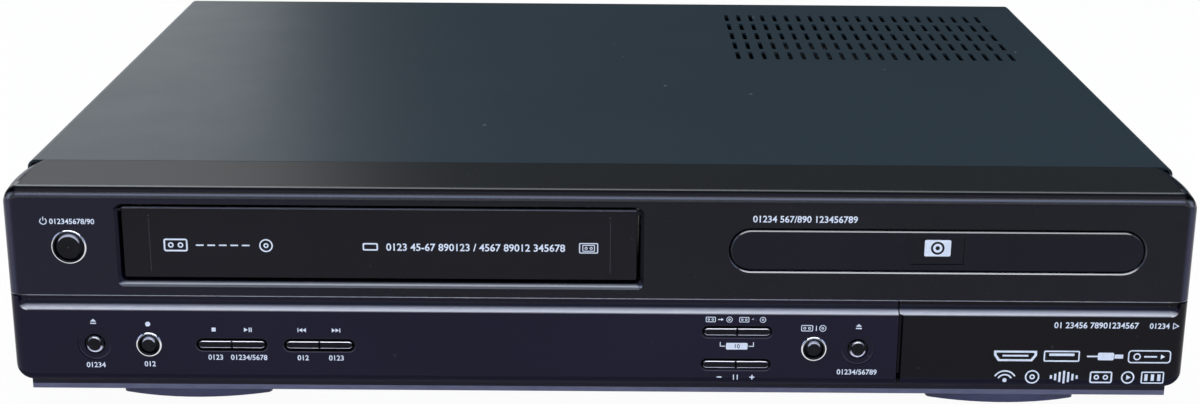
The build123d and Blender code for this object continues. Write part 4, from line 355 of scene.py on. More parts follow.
frontMm = frontY / mm
# Painted highlights, painted reflections and painted shade, laid over the front pieces and the keys where
# light falls or shade lies
paintedLightAndShade = {
    # colour, roughness, metallic
    "ramp": ((0.016, 0.0165, 0.0155), 0.28, 0.0),
    "crease": ((0.24, 0.25, 0.26), 0.3, 1.0),
    "shoulder": ((0.0060, 0.0060, 0.0085), 0.26, 1.0),
    "edgeReflection": ((0.170, 0.160, 0.150), 0.26, 1.0),
    "side": ((0.048, 0.050, 0.082), 0.28, 1.0),
    "mouthTop": ((0.020, 0.020, 0.024), 0.3, 0.0),
    "rimTop": ((0.40, 0.41, 0.43), 0.28, 1.0),
    "rim": ((0.115, 0.118, 0.125), 0.30, 1.0),
    "seam": ((0.62, 0.63, 0.68), 0.35, 1.0),
    "thin": ((0.150, 0.152, 0.160), 0.25, 1.0),
    "foot": ((0.20, 0.205, 0.22), 0.25, 1.0),
    "arc": ((0.080, 0.082, 0.095), 0.30, 1.0),
    "scoop": ((0.023, 0.021, 0.034), 0.32, 0.0),
    "groove": ((0.93, 0.93, 0.94), 0.36, 0.2),
    "mouthSide": ((0.022, 0.022, 0.030), 0.3, 0.0),
    "pocket": ((0.0008, 0.0008, 0.0014), 0.6, 0.0),
    "pocketEdge": ((0.095, 0.088, 0.120), 0.4, 0.0),
    "under": ((0.0080, 0.0068, 0.0190), 0.9, 0.0),
    "leftPaintedLight": ((0.0090, 0.0082, 0.0215), 0.26, 0.0),
    "leftRamp": ((0.040, 0.040, 0.040), 0.28, 0.0),
    "doorTop": ((0.16, 0.16, 0.17), 0.3, 0.0),
}
# Which way a surface faces where a painted highlight or painted shade shows: an axis of its normal, and the
# values of none and full
paintedLightFacing = {
    "ramp": [("z", 0.975, 0.99)],
    "crease": [("z", 0.915, 0.945), ("z", 0.984, 0.974)],
    "shoulder": [("z", 0.44, 0.56), ("z", 0.97, 0.93)],
    "edgeReflection": [("z", 0.12, 0.30), ("z", 0.62, 0.44)],
    "side": [("xsize", 0.10, 0.35), ("xsize", 0.95, 0.75)],
    "mouthTop": [("z", -0.1, -0.4)],
    "mouthSide": [("xsize", 0.25, 0.5)],
    "rim": [("z", 0.15, 0.4)],
    "rimTop": [("z", 0.15, 0.4)],
    "seam": [("ysize", 0.96, 0.8)],
    "arc": [("ysize", 0.95, 0.8)],
    "foot": [("z", 0.3, 0.6)],
    "scoop": [("z", 0.02, 0.10)],
    "groove": [("z", 0.46, 0.86), ("z", 0.998, 0.95)],
    "under": [("z", -0.05, -0.25)],
    "doorTop": [],
}


def span(start, offsets):
    return tuple(start + offset for offset in offsets)


# Lays one band of painted highlight, reflection or shade from the table above over a region
def paintLightAndShadeBand(finish, name, limits):
    finish.accent(finish.region(limits, paintedLightFacing[name]), *paintedLightAndShade[name])


# Bounds of the painted highlights and painted shade on the upper front
upperPlaces = {
    # millimetres from the front plane, the floor, the door's edges and the tray front's edges
    "skin": (-1, 7), "topBand": (79, 88), "rampBand": (79, 91), "seamBand": (45.3, 45.9),
    "endBand": (10, 82), "endWidth": 9, "endInset": 7,
    "doorInset": 0.5, "overDoor": (0.6, 2.2), "underDoor": (-3.1, -1.45), "underDoorTop": (-2.35, -1.85),
    "besideDoor": (-4.0, 0), "besideDepth": (-1, 2), "belowDoor": 2, "aboveDoor": 1.5,
    "holeMargin": 1.2, "holeDepth": (-1, 0.58),
    "leftFade": (-0.205, -0.06),  # metres across
}


def upperFront(values, places):
    finish = plastic("upperPlastic", values)
    side = ends("front_bezel", "x")[1] - places["endInset"]
    skin = span(frontMm, places["skin"])
    # Painted light: the bezel is tinted bluer and lighter, and the ramp lightened, towards the left, where
    # a reflection falls
    leftward = finish.remap(finish.parts["place"]["x"], 1, 0, *places["leftFade"])
    finish.accent(leftward, *paintedLightAndShade["leftPaintedLight"])
    # Painted highlights along the ramp, the top edge and the side edges, with painted shade on the shoulder
    # of the top edge
    ramp = finish.region({"z": places["rampBand"]}, paintedLightFacing["ramp"])
    finish.accent(ramp, *paintedLightAndShade["ramp"])
    finish.accent(finish.math("MULTIPLY", ramp, leftward), *paintedLightAndShade["leftRamp"])
    for name in ("shoulder", "edgeReflection", "crease"):
        paintLightAndShadeBand(finish, name, {"y": skin, "z": places["topBand"]})
    for start, end in ((-side - places["endWidth"], -side), (side, side + places["endWidth"])):
        paintLightAndShadeBand(finish, "side", {"y": skin, "x": (start, end), "z": places["endBand"]})
    # Painted highlights round the rim of the cassette mouth, and along the edge of the seam
    left, right = ends("cassette_door", "x")
    doorX = (left + places["doorInset"], right - places["doorInset"])
    doorZ, doorTop = ends("cassette_door", "z")
    paintLightAndShadeBand(finish, "mouthTop", {"y": skin, "x": doorX, "z": span(doorTop, places["overDoor"])})
    beside = {"y": span(frontMm, places["besideDepth"]), "x": span(doorX[0], places["besideDoor"]),
              "z": (doorZ - places["belowDoor"], doorTop + places["aboveDoor"])}
    paintLightAndShadeBand(finish, "mouthSide", beside)
    for name, band in (("rim", "underDoor"), ("rimTop", "underDoorTop")):
        paintLightAndShadeBand(finish, name, {"y": skin, "x": doorX, "z": span(doorZ, places[band])})
    paintLightAndShadeBand(finish, "seam", {"y": skin, "z": places["seamBand"]})
    # Painted highlights round the rim of the tray's opening
    hole = {"y": span(frontMm, places["holeDepth"])}
    for axis in "xz":
        start, end = ends("tray_front", axis)
        hole[axis] = (start - places["holeMargin"], end + places["holeMargin"])
    for name in ("arc", "foot"):
        paintLightAndShadeBand(finish, name, hole)
    return finish


# Painted shade in the shallow pockets round the keys: dark ovals, with a faint painted highlight along the
# edge below
keyPockets = [
    # keys, half length and radius in millimetres, and whether painted shade darkens the pocket inside
    (("stop_key", "play_key"), 10.7, 3.0, True),
    (("rewind_key", "forward_key"), 10.7, 3.0, True),
    (("copy_to_disc_key", "copy_to_tape_key"), 10.7, 2.7, True),
    (("channel_down_key", "channel_up_key"), 10.7, 2.7, True),
    (("eject_key",), 0, 6.1, False),
    (("open_close_key",), 0, 6.1, False),
]
pocketRim = {"width": 0.25, "upperShare": 0.12, "fade": 0.7}


def pocketed(finish, pockets, rim):
    for names, halfLength, radius, dark in pockets:
        centre = sum((middle(name) for name in names), Vector()) / len(names)
        inner = finish.oval(centre, halfLength, radius - rim["width"])
        edge = finish.math("SUBTRACT", finish.oval(centre, halfLength, radius), inner)
        height = finish.parts["place"]["z"]
        low = finish.remap(height, 1, rim["upperShare"], centre.z - radius * rim["fade"] * mm, centre.z)
        if dark:
            finish.accent(inner, *paintedLightAndShade["pocket"])
        finish.accent(finish.math("MULTIPLY", edge, low), *paintedLightAndShade["pocketEdge"])
    return finish


# Painted highlight along the scooped groove where it faces up, painted light in its shadowed upper part,
# and painted shade on the moulding's foot where it turns under
groovePlaces = {"depth": (-0.5, 3.35), "heights": (39.3, 43.05), "foot": (10, 17)}


def grooved(finish, places):
    scoop = {"y": span(frontMm, places["depth"]), "z": places["heights"]}
    paintLightAndShadeBand(finish, "scoop", scoop)
    paintLightAndShadeBand(finish, "groove", scoop)
    paintLightAndShadeBand(finish, "under", {"z": places["foot"]})
    return finish


# Painted highlights on the bevels of a key or a door: one look where they face up, another where they face
# down or to the sides
bevels = {
    # how the normal's z runs from bare to full line, and how far behind the front plane the bevels reach
    "door": {"top": (0.3, 0.6), "sides": (0.3, 0.7), "reach": (-3, 2.0)},
    "tray": {"top": (0.3, 0.6), "sides": (0.3, 0.7), "reach": (-3, 0.49)},
    "bar": {"top": (0.40, 0.70), "bottom": (-0.30, -0.55), "reach": (-3, 0.9)},
    "ring": {"top": (0.30, 0.60), "bottom": (-0.30, -0.60), "sides": (0.3, 0.7), "reach": (-3, 0.9)},
    "dome": {"top": (0.35, 0.70), "bottom": (-0.10, -0.35), "reach": (-3, 0.9)},
}


def edged(finish, kind, upper, lower):
    values = bevels[kind]
    shallow = {"y": span(frontMm, values["reach"])}
    for part, axis, look in (("sides", "xsize", lower), ("top", "z", upper), ("bottom", "z", lower)):
        if part in values:
            finish.accent(finish.region(shallow, [(axis, *values[part])]), *look)
    return finish


# Painted highlight in a thin band along the top of the door's face
doorTopLine = {"depth": (0, 2), "height": 0.55}


def doorFinish(values, line):
    finish = edged(plastic("doorPlastic", values), "door", paintedLightAndShade["thin"], paintedLightAndShade["arc"])
    top = ends("cassette_door", "z")[1]
    paintLightAndShadeBand(finish, "doorTop", {"y": span(frontMm, line["depth"]), "z": (top - line["height"], top)})
    return finish


dress(upperFront(upperPlastic, upperPlaces), "front_bezel")
dress(doorFinish(doorPlastic, doorTopLine), "cassette_door")
# Painted highlights along the bevels of the tray front
trayFront = edged(plastic("trayPlastic", trayPlastic), "tray", paintedLightAndShade["thin"], paintedLightAndShade["arc"])
dress(trayFront, "tray_front")
fascia = grooved(plastic("fasciaGloss", fasciaGloss), groovePlaces)
dress(pocketed(fascia, keyPockets, pocketRim), "lower_fascia")
dress(grooved(plastic("flapGloss", flapGloss), groovePlaces), "av_flap")
dress(plastic("footPlastic", footPlastic), "feet")
dress(plastic("mouldedBlack", mouldedBlack), "scart_sockets", "digital_socket", "mains_inlet", "fan_frame",
      "fan_rotor", "tact_switches")
# Phono shells are nickel where they stand out of their black moulding
shellNickel = {
    "color": (0.62, 0.60, 0.55), "rough": 0.22,
    "front_jacks": (frontMm, frontMm + 13.9),
    "jack_panel": (ends("rear_panel", "y")[1] + 0.1, 400),
}
for nodeName in ("front_jacks", "jack_panel"):
    jacks = plastic(nodeName + "Moulding", mouldedBlack)
    jacks.accent(jacks.region({"y": shellNickel[nodeName]}), shellNickel["color"], shellNickel["rough"])
    dress(jacks, nodeName)
dress(plastic("naturalWhite", naturalWhite), "reel_supply", "reel_takeup", "loading_pinion", "disc_clamp")
dress(plastic("driveBlack", driveBlack), "drive_frame", "disc_tray", "pickup_sled")
dress(plastic("padRubber", padRubber), "foot_pads", "pinch_roller")
dress(plastic("chipPlastic", chipPlastic), "main_chips")
print("plastics made")


# Painted sheet steel: a fine powder grain, slow changes of tone, and faint specks of dust
steelPaint = {"dustColor": (0.55, 0.58, 0.60), "dustReach": 0.045, "roughScale": 35, "waveScale": 28}
coverPaint = {
    "color": (0.0168, 0.0272, 0.0350), "second": (0.0184, 0.0295, 0.0378), "specular": 0.26, "toneScale": 8,
    "rough": (0.37, 0.39), "dustScale": 45, "dust": 0.35, "grainScale": 2600, "grainDepth": 0.0012,
    "wave": 0.002,
}
panelPaint = {
    "color": (0.0160, 0.0165, 0.0175), "second": (0.0220, 0.0225, 0.0235), "specular": 0.4, "toneScale": 12,
    "rough": (0.42, 0.52), "dustScale": 60, "dust": 0.3, "grainScale": 2400, "grainDepth": 0.004,
    "wave": 0.006,
}


def paintedSteel(name, values):
    finish = Finish(name)
    finish.set(Specular_IOR_Level=values["specular"])
    base = finish.drift(values["toneScale"], 4, values)
    spots = finish.cells(values["dustScale"])
    speck = finish.remap(spots, values["dust"], 0, 0.0, steelPaint["dustReach"])
    finish.color(finish.blend(speck, base, steelPaint["dustColor"]))
    finish.gloss(steelPaint["roughScale"], 5, values["rough"])
    finish.bump(finish.noise(values["grainScale"], 3, 0.7), values["grainDepth"] * mm)
    finish.bump(finish.noise(steelPaint["waveScale"], 1), values["wave"] * mm)
    return finish


dress(paintedSteel("coverPaint", coverPaint), "top_cover")
dress(paintedSteel("panelPaint", panelPaint), "rear_panel")


# Bare metals: brushed or grained, and spangled where the steel is zinc coated
metalGrain = {"roughScale": 150, "spangleShade": (0, 0.45), "spangleSpan": (0.2, 0.8)}


def bareMetal(name, values):
    finish = Finish(name)
    finish.set(Metallic=1.0)
    stretch = values.get("stretch", (1, 1, 1))
    brushed = finish.noise(values["grainScale"], 4, 0.6, finish.stretched(stretch))
    base = finish.blend(finish.remap(brushed, 0, 1), values["color"], values["second"])
    if values.get("spangle"):
        grain = finish.cells(values["spangle"], output="Color")
        shade = finish.add("ShaderNodeRGBToBW")
        finish.link(grain, shade.inputs[0])
        patches = finish.remap(shade.outputs[0], *metalGrain["spangleShade"], *metalGrain["spangleSpan"])
        base = finish.blend(patches, base, values["second"])
    finish.color(base)
    finish.gloss(metalGrain["roughScale"], 5, values["rough"])
    finish.bump(brushed, values["grainDepth"] * mm)
    return finish


chromePlate = {
    "color": (0.84, 0.85, 0.89), "second": (0.74, 0.75, 0.79), "rough": (0.08, 0.16), "grainScale": 700,
    # the dip colour and roughness are painted shade, laid where the rings dip to the cap
    "grainDepth": 0.0008, "dipShade": (0.02, 0.02, 0.024), "dipRough": 0.2,
    "dipRadius": {"standby_key": 5.95, "record_key": 4.2, "source_key": 4.2},
}
chassisZinc = {
    "color": (0.130, 0.138, 0.225), "second": (0.105, 0.113, 0.190), "rough": (0.34, 0.44),
    "grainScale": 600, "grainDepth": 0.001, "stretch": (0.15, 1, 1),
    # painted shadow on the lip where the front hangs over it: its colour, roughness and heights
    "shade": (0.0100, 0.0085, 0.0240), "shadeRough": 0.8, "shadeHeights": (6.9, 20),
}
deckSteel = {
    "color": (0.55, 0.56, 0.58), "second": (0.42, 0.43, 0.45), "rough": (0.26, 0.38), "grainScale": 500,
    "grainDepth": 0.003, "spangle": 140,
}
tinPlate = {
    "color": (0.66, 0.66, 0.65), "second": (0.52, 0.52, 0.51), "rough": (0.22, 0.34), "grainScale": 420,
    "grainDepth": 0.003, "stretch": (1, 0.1, 1),
}
castAluminium = {
    "color": (0.58, 0.58, 0.59), "second": (0.46, 0.46, 0.47), "rough": (0.34, 0.48), "grainScale": 1500,
    "grainDepth": 0.02,
}
polishedDrum = {
    "color": (0.74, 0.74, 0.75), "second": (0.66, 0.66, 0.67), "rough": (0.10, 0.18), "grainScale": 900,
    "grainDepth": 0.001, "stretch": (0.2, 0.2, 6),
}
groundSteel = {
    "color": (0.60, 0.60, 0.62), "second": (0.50, 0.50, 0.52), "rough": (0.16, 0.26), "grainScale": 900,
    "grainDepth": 0.001, "stretch": (0.3, 0.3, 4),
}
blackenedSteel = {
    "color": (0.060, 0.060, 0.065), "second": (0.11, 0.11, 0.12), "rough": (0.28, 0.42), "grainScale": 900,
    "grainDepth": 0.004,
}
canAluminium = {
    "color": (0.70, 0.70, 0.71), "second": (0.60, 0.60, 0.62), "rough": (0.24, 0.36), "grainScale": 700,
    "grainDepth": 0.003, "stretch": (1, 1, 0.1),
}


# Painted shade: the rings are darkened where they dip to the cap, so that they stay bright on their outer
# half only
def ringChrome(values):
    finish = bareMetal("chromePlate", values)
    dips = []
    for name, radius in values["dipRadius"].items():
        centre = middle(name)
        reach = finish.add("ShaderNodeVectorMath", operation="DISTANCE")
        finish.link(finish.place, reach.inputs[0])
        reach.inputs[1].default_value = (centre.x, frontY, centre.z)
        dips.append(finish.math("LESS_THAN", reach.outputs["Value"], radius * mm))
    finish.accent(finish.join("MAXIMUM", dips), values["dipShade"], values["dipRough"])
    return finish


# Painted shadow: the chassis lip is dark where the front hangs over it
def lipWithPaintedShadow(values):
    finish = bareMetal("chassisZinc", values)
    lip = middle("lower_fascia").y / mm
    overhung = finish.region({"y": (frontMm, lip), "z": values["shadeHeights"]})
    finish.accent(overhung, values["shade"], values["shadeRough"], 0.0)
    return finish


dress(ringChrome(chromePlate), "button_rings")
dress(lipWithPaintedShadow(chassisZinc), "bottom_chassis")
dress(bareMetal("deckSteel", deckSteel), "deck_chassis", "cassette_housing", "cassette_carrier",
      "drive_cover", "traverse_frame")
dress(bareMetal("tinPlate", tinPlate), "tuner_can")
dress(bareMetal("castAluminium", castAluminium), "head_drum_base")
dress(bareMetal("polishedDrum", polishedDrum), "head_drum")
dress(bareMetal("groundSteel", groundSteel), "capstan", "pinch_arm", "guide_rods", "turntable")
dress(bareMetal("blackenedSteel", blackenedSteel), "case_screws")
dress(bareMetal("canAluminium", canAluminium), "power_parts")
print("metals made")


# Keys: dark smooth plastic, with painted highlights along their bevels
smoked = {"toneScale": 140, "roughScale": 500, "grainScale": 1600, "grainDepth": 0.001}
# upper and lower are painted highlights laid on the bevels that face up, and on those that face down or to
# the sides
barKey = {"color": (0.0045, 0.0045, 0.0075), "second": (0.0065, 0.0065, 0.0105), "specular": 0.10,
          "rough": (0.16, 0.24), "upper": ((0.80, 0.80, 0.86), 0.3), "lower": ((0.95, 0.92, 1.0), 0.3, 0.0)}
ringKey = {"color": (0.004, 0.004, 0.006), "second": (0.006, 0.006, 0.009), "specular": 0.12,
           "rough": (0.10, 0.18), "upper": ((0.85, 0.85, 0.92), 0.35, 0.25),
           "lower": ((0.020, 0.020, 0.026), 0.3, 0.0)}
domeKey = {**ringKey, "upper": ((0.50, 0.51, 0.55), 0.3), "lower": ((0.90, 0.88, 1.0), 0.3, 0.0)}
barKeyNames = ["stop_key", "play_key", "rewind_key", "forward_key", "copy_to_disc_key", "copy_to_tape_key",
               "channel_down_key", "channel_up_key"]
ringKeyNames = ["standby_key", "record_key", "source_key"]
domeKeyNames = ["eject_key", "open_close_key"]


def keyFinish(kind, values):
    finish = Finish(kind + "Key")
    finish.set(Specular_IOR_Level=values["specular"])
    finish.color(finish.drift(smoked["toneScale"], 4, values))
    finish.gloss(smoked["roughScale"], 4, values["rough"])
    finish.bump(finish.noise(smoked["grainScale"], 2), smoked["grainDepth"] * mm)
    return edged(finish, kind, values["upper"], values["lower"])


dress(keyFinish("bar", barKey), *barKeyNames)
dress(keyFinish("ring", ringKey), *ringKeyNames)
dress(keyFinish("dome", domeKey), *domeKeyNames)


# Circuit boards: green lacquer with paler tracks and tinned pads
circuitBoard = {
    "lacquer": (0.012, 0.075, 0.030), "track": (0.030, 0.150, 0.060), "pads": (0.42, 0.40, 0.36),
    "trackCell": 5.28, "trackEdge": (0.10, 0.13), "trackRise": 0.02,
    "padCell": 4.064, "padEdge": (0.14, 0.18), "rough": (0.25, 0.4), "roughScale": 200,
}


def boardFinish(values):
    finish = Finish("circuitBoard")
    finish.set(Specular_IOR_Level=0.5, Coat_Weight=0.3, Coat_Roughness=0.15)
    tracks = finish.cells(1 / (values["trackCell"] * mm), feature="DISTANCE_TO_EDGE")
    wide = finish.remap(tracks, 1, 0, *values["trackEdge"])
    base = finish.blend(wide, values["lacquer"], values["track"])
    pads = finish.cells(1 / (values["padCell"] * mm))
    finish.color(finish.blend(finish.remap(pads, 1, 0, *values["padEdge"]), base, values["pads"]))
    finish.gloss(values["roughScale"], 4, values["rough"])
    finish.bump(wide, values["trackRise"] * mm)
    return finish


# The smoked tube of the display, with its fine mesh
displayGlass = {"color": (0.006, 0.010, 0.011), "mesh": (0.03, 0.04, 0.04), "meshPitch": 0.8,
                "meshEdge": (0.04, 0.1), "rough": (0.05, 0.12), "roughScale": 300}


def tubeFinish(values):
    finish = Finish("displayGlass")
    finish.set(Specular_IOR_Level=0.6, Coat_Weight=1.0, Coat_Roughness=0.03)
    grid = finish.cells(1 / (values["meshPitch"] * mm), feature="DISTANCE_TO_EDGE")
    wires = finish.remap(grid, 1, 0, *values["meshEdge"])
    finish.color(finish.blend(wires, values["color"], values["mesh"]))
    finish.gloss(values["roughScale"], 3, values["rough"])
    return finish


# The transformer: a dark core below, and its winding in yellow tape above
windingTape = {"tape": (0.50, 0.34, 0.045), "wire": (0.30, 0.10, 0.03), "core": (0.045, 0.045, 0.05),
               "coreTop": 36, "turnScale": 900, "turnStretch": (0.1, 0.1, 2), "turnRise": 0.03,
               "rough": (0.35, 0.55), "roughScale": 220}


def windingFinish(values):
    finish = Finish("windingTape")
    finish.set(Specular_IOR_Level=0.5)
    turns = finish.noise(values["turnScale"], 3, 0.5, finish.stretched(values["turnStretch"]))
    tape = finish.blend(finish.remap(turns, 0, 1), values["tape"], values["wire"])
    aboveCore = finish.math("GREATER_THAN", finish.parts["place"]["z"], values["coreTop"] * mm)
    finish.color(finish.blend(aboveCore, values["core"], tape))
    finish.gloss(values["roughScale"], 4, values["rough"])
    finish.bump(turns, values["turnRise"] * mm)
    return finish


dress(boardFinish(circuitBoard), "key_board", "power_board", "main_board")
dress(tubeFinish(displayGlass), "display_tube")
dress(windingFinish(windingTape), "transformer")
print("boards and keys finished")


# Printing: flat signs a hair thick. Points are millimetres across and up, on a plane that faces the front.
printInk = {"color": (0.88, 0.93, 1.0), "second": (0.80, 0.85, 0.92), "thickness": 0.03, "sink": 0.006,
            "toneScale": 1200, "rough": (0.35, 0.5), "roughScale": 700}
dimInk = {"color": (0.050, 0.052, 0.058), "second": (0.036, 0.038, 0.042)}
lettering = {"sizePerHeight": 1.42, "swellPerHeight": 0.022}


def inkFinish(name, values):
    finish = Finish(name)
    finish.set(Specular_IOR_Level=0.4)
    finish.color(finish.drift(printInk["toneScale"], 3, values))
    finish.gloss(printInk["roughScale"], 3, printInk["rough"])
    return finish


whiteInk = inkFinish("whiteInk", printInk)
grayInk = inkFinish("grayInk", dimInk)


def rectangle(x, z, width, height):
    w, h = width / 2, height / 2
    return [[(x - w, z - h), (x + w, z - h), (x + w, z + h), (x - w, z + h)]]


def arc(x, z, radius, start, end, steps):
    angles = [math.radians(start + (end - start) * step / steps) for step in range(steps + 1)]
    return [(x + radius * math.cos(angle), z + radius * math.sin(angle)) for angle in angles]


def roundRectangle(x, z, width, height, radius, steps=6):
    w, h = width / 2 - radius, height / 2 - radius
    points = []
    for across, up, start in ((w, h, 0), (-w, h, 90), (-w, -h, 180), (w, -h, 270)):
        points += arc(x + across, z + up, radius, start, start + 90, steps)
    return [points]


def outline(x, z, width, height, radius, line):
    inner = roundRectangle(x, z, width - 2 * line, height - 2 * line, max(radius - line, 0.05))
    return roundRectangle(x, z, width, height, radius) + inner


def dot(x, z, radius, steps=28):
    return [arc(x, z, radius, 0, 360, steps)[:-1]]


def ring(x, z, radius, line):
    return dot(x, z, radius) + dot(x, z, radius - line)


def arcBand(x, z, radius, line, start, end, steps=24):
    return [arc(x, z, radius, start, end, steps) + arc(x, z, radius - line, start, end, steps)[::-1]]


def placed(shapes, x, z):
    return [[(x + across, z + up) for across, up in points] for points in shapes]


def triangle(x, z, width, height, heading):
    w, h = width / 2, height / 2
    corners = {"up": [(-w, -h), (w, -h), (0, h)], "right": [(-w, h), (-w, -h), (w, 0)],
               "left": [(w, -h), (w, h), (-w, 0)]}[heading]
    return placed([corners], x, z)


def eject(x, z):
    return triangle(x, z + 0.5, 2.2, 1.1, "up") + rectangle(x, z - 0.75, 2.2, 0.42)


def power(x, z):
    return arcBand(x, z, 1.35, 0.33, 125, 415) + rectangle(x, z + 1.0, 0.33, 1.5)


def playPause(x, z):
    shapes = triangle(x - 0.75, z, 1.4, 1.7, "right")
    for offset in (0.5, 1.2):
        shapes += rectangle(x + offset, z, 0.4, 1.7)
    return shapes


def skip(x, z, side):
    heading = "right" if side > 0 else "left"
    shapes = rectangle(x + side * 1.55, z, 0.35, 1.6)
    for offset in (0.6, -0.75):
        shapes += triangle(x + side * offset, z, 1.3, 1.6, heading)
    return shapes


def cassetteSign(x, z, width):
    height = width * 0.56
    shapes = outline(x, z, width, height, width * 0.1, width * 0.07)
    for side in (-1, 1):
        shapes += ring(x + side * width * 0.2, z, width * 0.12, width * 0.06)
    return shapes


def discSign(x, z, radius):
    return ring(x, z, radius, radius * 0.2) + ring(x, z, radius * 0.38, radius * 0.2)


def arrowSign(x, z, side):
    heading = "right" if side > 0 else "left"
    return rectangle(x - side * 0.4, z, 1.2, 0.34) + triangle(x + side * 0.6, z, 0.8, 1.1, heading)


def curveMesh(curve):
    holder = bpy.data.objects.new("outline", curve)
    scene.collection.objects.link(holder)
    bpy.context.view_layer.update()
    mesh = bpy.data.meshes.new_from_object(holder.evaluated_get(bpy.context.evaluated_depsgraph_get()))
    bpy.data.objects.remove(holder)
    return mesh


def printSign(name, shapes, depth, body, ink=whiteInk,
              thickness=printInk["thickness"]):
    curve = bpy.data.curves.new(name, "CURVE")
    curve.dimensions = "2D"
    curve.fill_mode = "BOTH"
    curve.extrude = thickness / 2 * mm
    for points in shapes:
        spline = curve.splines.new("POLY")
        spline.points.add(len(points) - 1)
        spline.use_cyclic_u = True
        for point, (x, z) in zip(spline.points, points):
            point.co = (x * mm, z * mm, 0, 1)
    mesh = curveMesh(curve)
    mesh.transform(Matrix.Rotation(math.radians(90), 4, "X"))
    lift = (thickness / 2 - printInk["sink"]) * mm
    mesh.transform(Matrix.Translation((0, depth - lift, 0)))
    mesh.materials.clear()
    mesh.materials.append(ink.material)
    piece = bpy.data.objects.new(name, mesh)
    scene.collection.objects.link(piece)
    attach(piece, body)


def digits(text, x, z, height):
    data = bpy.data.curves.new("numbers", "FONT")
    data.body = text
    data.size = height * lettering["sizePerHeight"]
    data.offset = height * lettering["swellPerHeight"]
    data.align_x = "CENTER"
    data.resolution_u = 4
    mesh = curveMesh(data)
    shape = bmesh.new()
    shape.from_mesh(mesh)
    bmesh.ops.dissolve_limit(shape, angle_limit=0.01, verts=shape.verts, edges=shape.edges)
    loops = []
    seen = set()
    rim = [edge for edge in shape.edges if len(edge.link_faces) == 1]
    for first in rim:
        if first in seen:
            continue
        points, edge, vertex = [], first, first.verts[0]
        while edge not in seen:
            seen.add(edge)
            points.append((x + vertex.co.x, z - height / 2 + vertex.co.y))
            vertex = edge.other_vert(vertex)
            onward = [near for near in vertex.link_edges if len(near.link_faces) == 1 and near not in seen]
            edge = onward[0] if onward else edge
        loops.append(points)
    shape.free()
    bpy.data.meshes.remove(mesh)
    return loops


keyNames = barKeyNames + ringKeyNames + domeKeyNames
keyX = {name: middle(name).x / mm for name in keyNames}
keyZ = {name: middle(name).z / mm for name in keyNames}

fasciaPrint = {
    # distances in millimetres from the middles of the keys
    "overRound": 9.0, "overRecord": 8.1, "overBar": 5.9, "overCopy": 4.9, "overSource": 8.2,
    "underCopy": 5.6, "underChannel": 5.0, "number": 2.0, "square": 1.5, "dot": 0.95,
    "numbers": {"stop_key": ("0123", 5.0), "play_key": ("01234/5678", 5.0), "rewind_key": ("012", 5.0),
                "forward_key": ("0123", 5.0), "record_key": ("012", 7.6), "eject_key": ("01234", 8.1),
                "open_close_key": ("01234/56789", 9.0)},
    "pill": (8.0, 2.6, 0.5), "pillNumber": 1.6,
}
bracket = ((4.3, -0.15), (6.3, -0.15), (6.3, 1.6), (6.0, 1.6), (6.0, 0.15), (4.3, 0.15))
plus = ((-0.9, -0.22), (-0.22, -0.22), (-0.22, -0.9), (0.22, -0.9), (0.22, -0.22), (0.9, -0.22),
        (0.9, 0.22), (0.22, 0.22), (0.22, 0.9), (-0.22, 0.9), (-0.22, 0.22), (-0.9, 0.22))


def between(first, second):
    return (keyX[first] + keyX[second]) / 2


def fasciaSigns(values):
    shapes = []
    for name in domeKeyNames:
        shapes += eject(keyX[name], keyZ[name] + values["overRound"])
    shapes += dot(keyX["record_key"], keyZ["record_key"] + values["overRecord"], values["dot"])
    top = keyZ["stop_key"] + values["overBar"]
    shapes += rectangle(keyX["stop_key"] - 0.3, top, values["square"], values["square"])
    shapes += playPause(keyX["play_key"], top)
    shapes += skip(keyX["rewind_key"], top, -1) + skip(keyX["forward_key"], top, 1)
    for name, (text, drop) in values["numbers"].items():
        shapes += digits(text, keyX[name], keyZ[name] - drop, values["number"])
    for name, side in (("copy_to_disc_key", 1), ("copy_to_tape_key", -1)):
        x, z = keyX[name], keyZ[name] + values["overCopy"]
        shapes += cassetteSign(x - 3.7, z, 3.7) + arrowSign(x, z, side) + discSign(x + 3.2, z, 1.15)
    x, z = between("copy_to_disc_key", "copy_to_tape_key"), keyZ["copy_to_disc_key"] - values["underCopy"]
    shapes += roundRectangle(x, z, *values["pill"]) + digits("10", x, z, values["pillNumber"])
    for side in (-1, 1):
        shapes += [[(x + side * across, z + up) for across, up in bracket]]
    x, z = keyX["source_key"], keyZ["source_key"] + values["overSource"]
    shapes += cassetteSign(x - 2.8, z, 4.4) + rectangle(x + 0.6, z, 0.3, 2.0) + discSign(x + 3.0, z, 1.3)
    z = keyZ["channel_up_key"] - values["underChannel"]
    shapes += rectangle(keyX["channel_down_key"] + 0.1, z, 1.8, 0.45)
    shapes += digits("11", between("channel_down_key", "channel_up_key"), z, values["number"])
    return shapes + placed([plus], keyX["channel_up_key"], z)


printSign("fasciaSigns", fasciaSigns(fasciaPrint), frontY, "case")

bezelPrint = {"powerX": -8.7, "numberX": 1.7, "powerZ": 9.8, "number": 2.0, "signX": 74.5, "signZ": 76.8,
              "signHeight": 2.48}


def bezelSigns(values):
    x, z = keyX["standby_key"], keyZ["standby_key"] + values["powerZ"]
    shapes = power(x + values["powerX"], z)
    shapes += digits("012345678/90", x + values["numberX"], z, values["number"])
    x, z = values["signX"], values["signZ"]
    return shapes + digits("01234 567/890 123456789", x, z, values["signHeight"])


printSign("bezelSigns", bezelSigns(bezelPrint), frontY, "case")

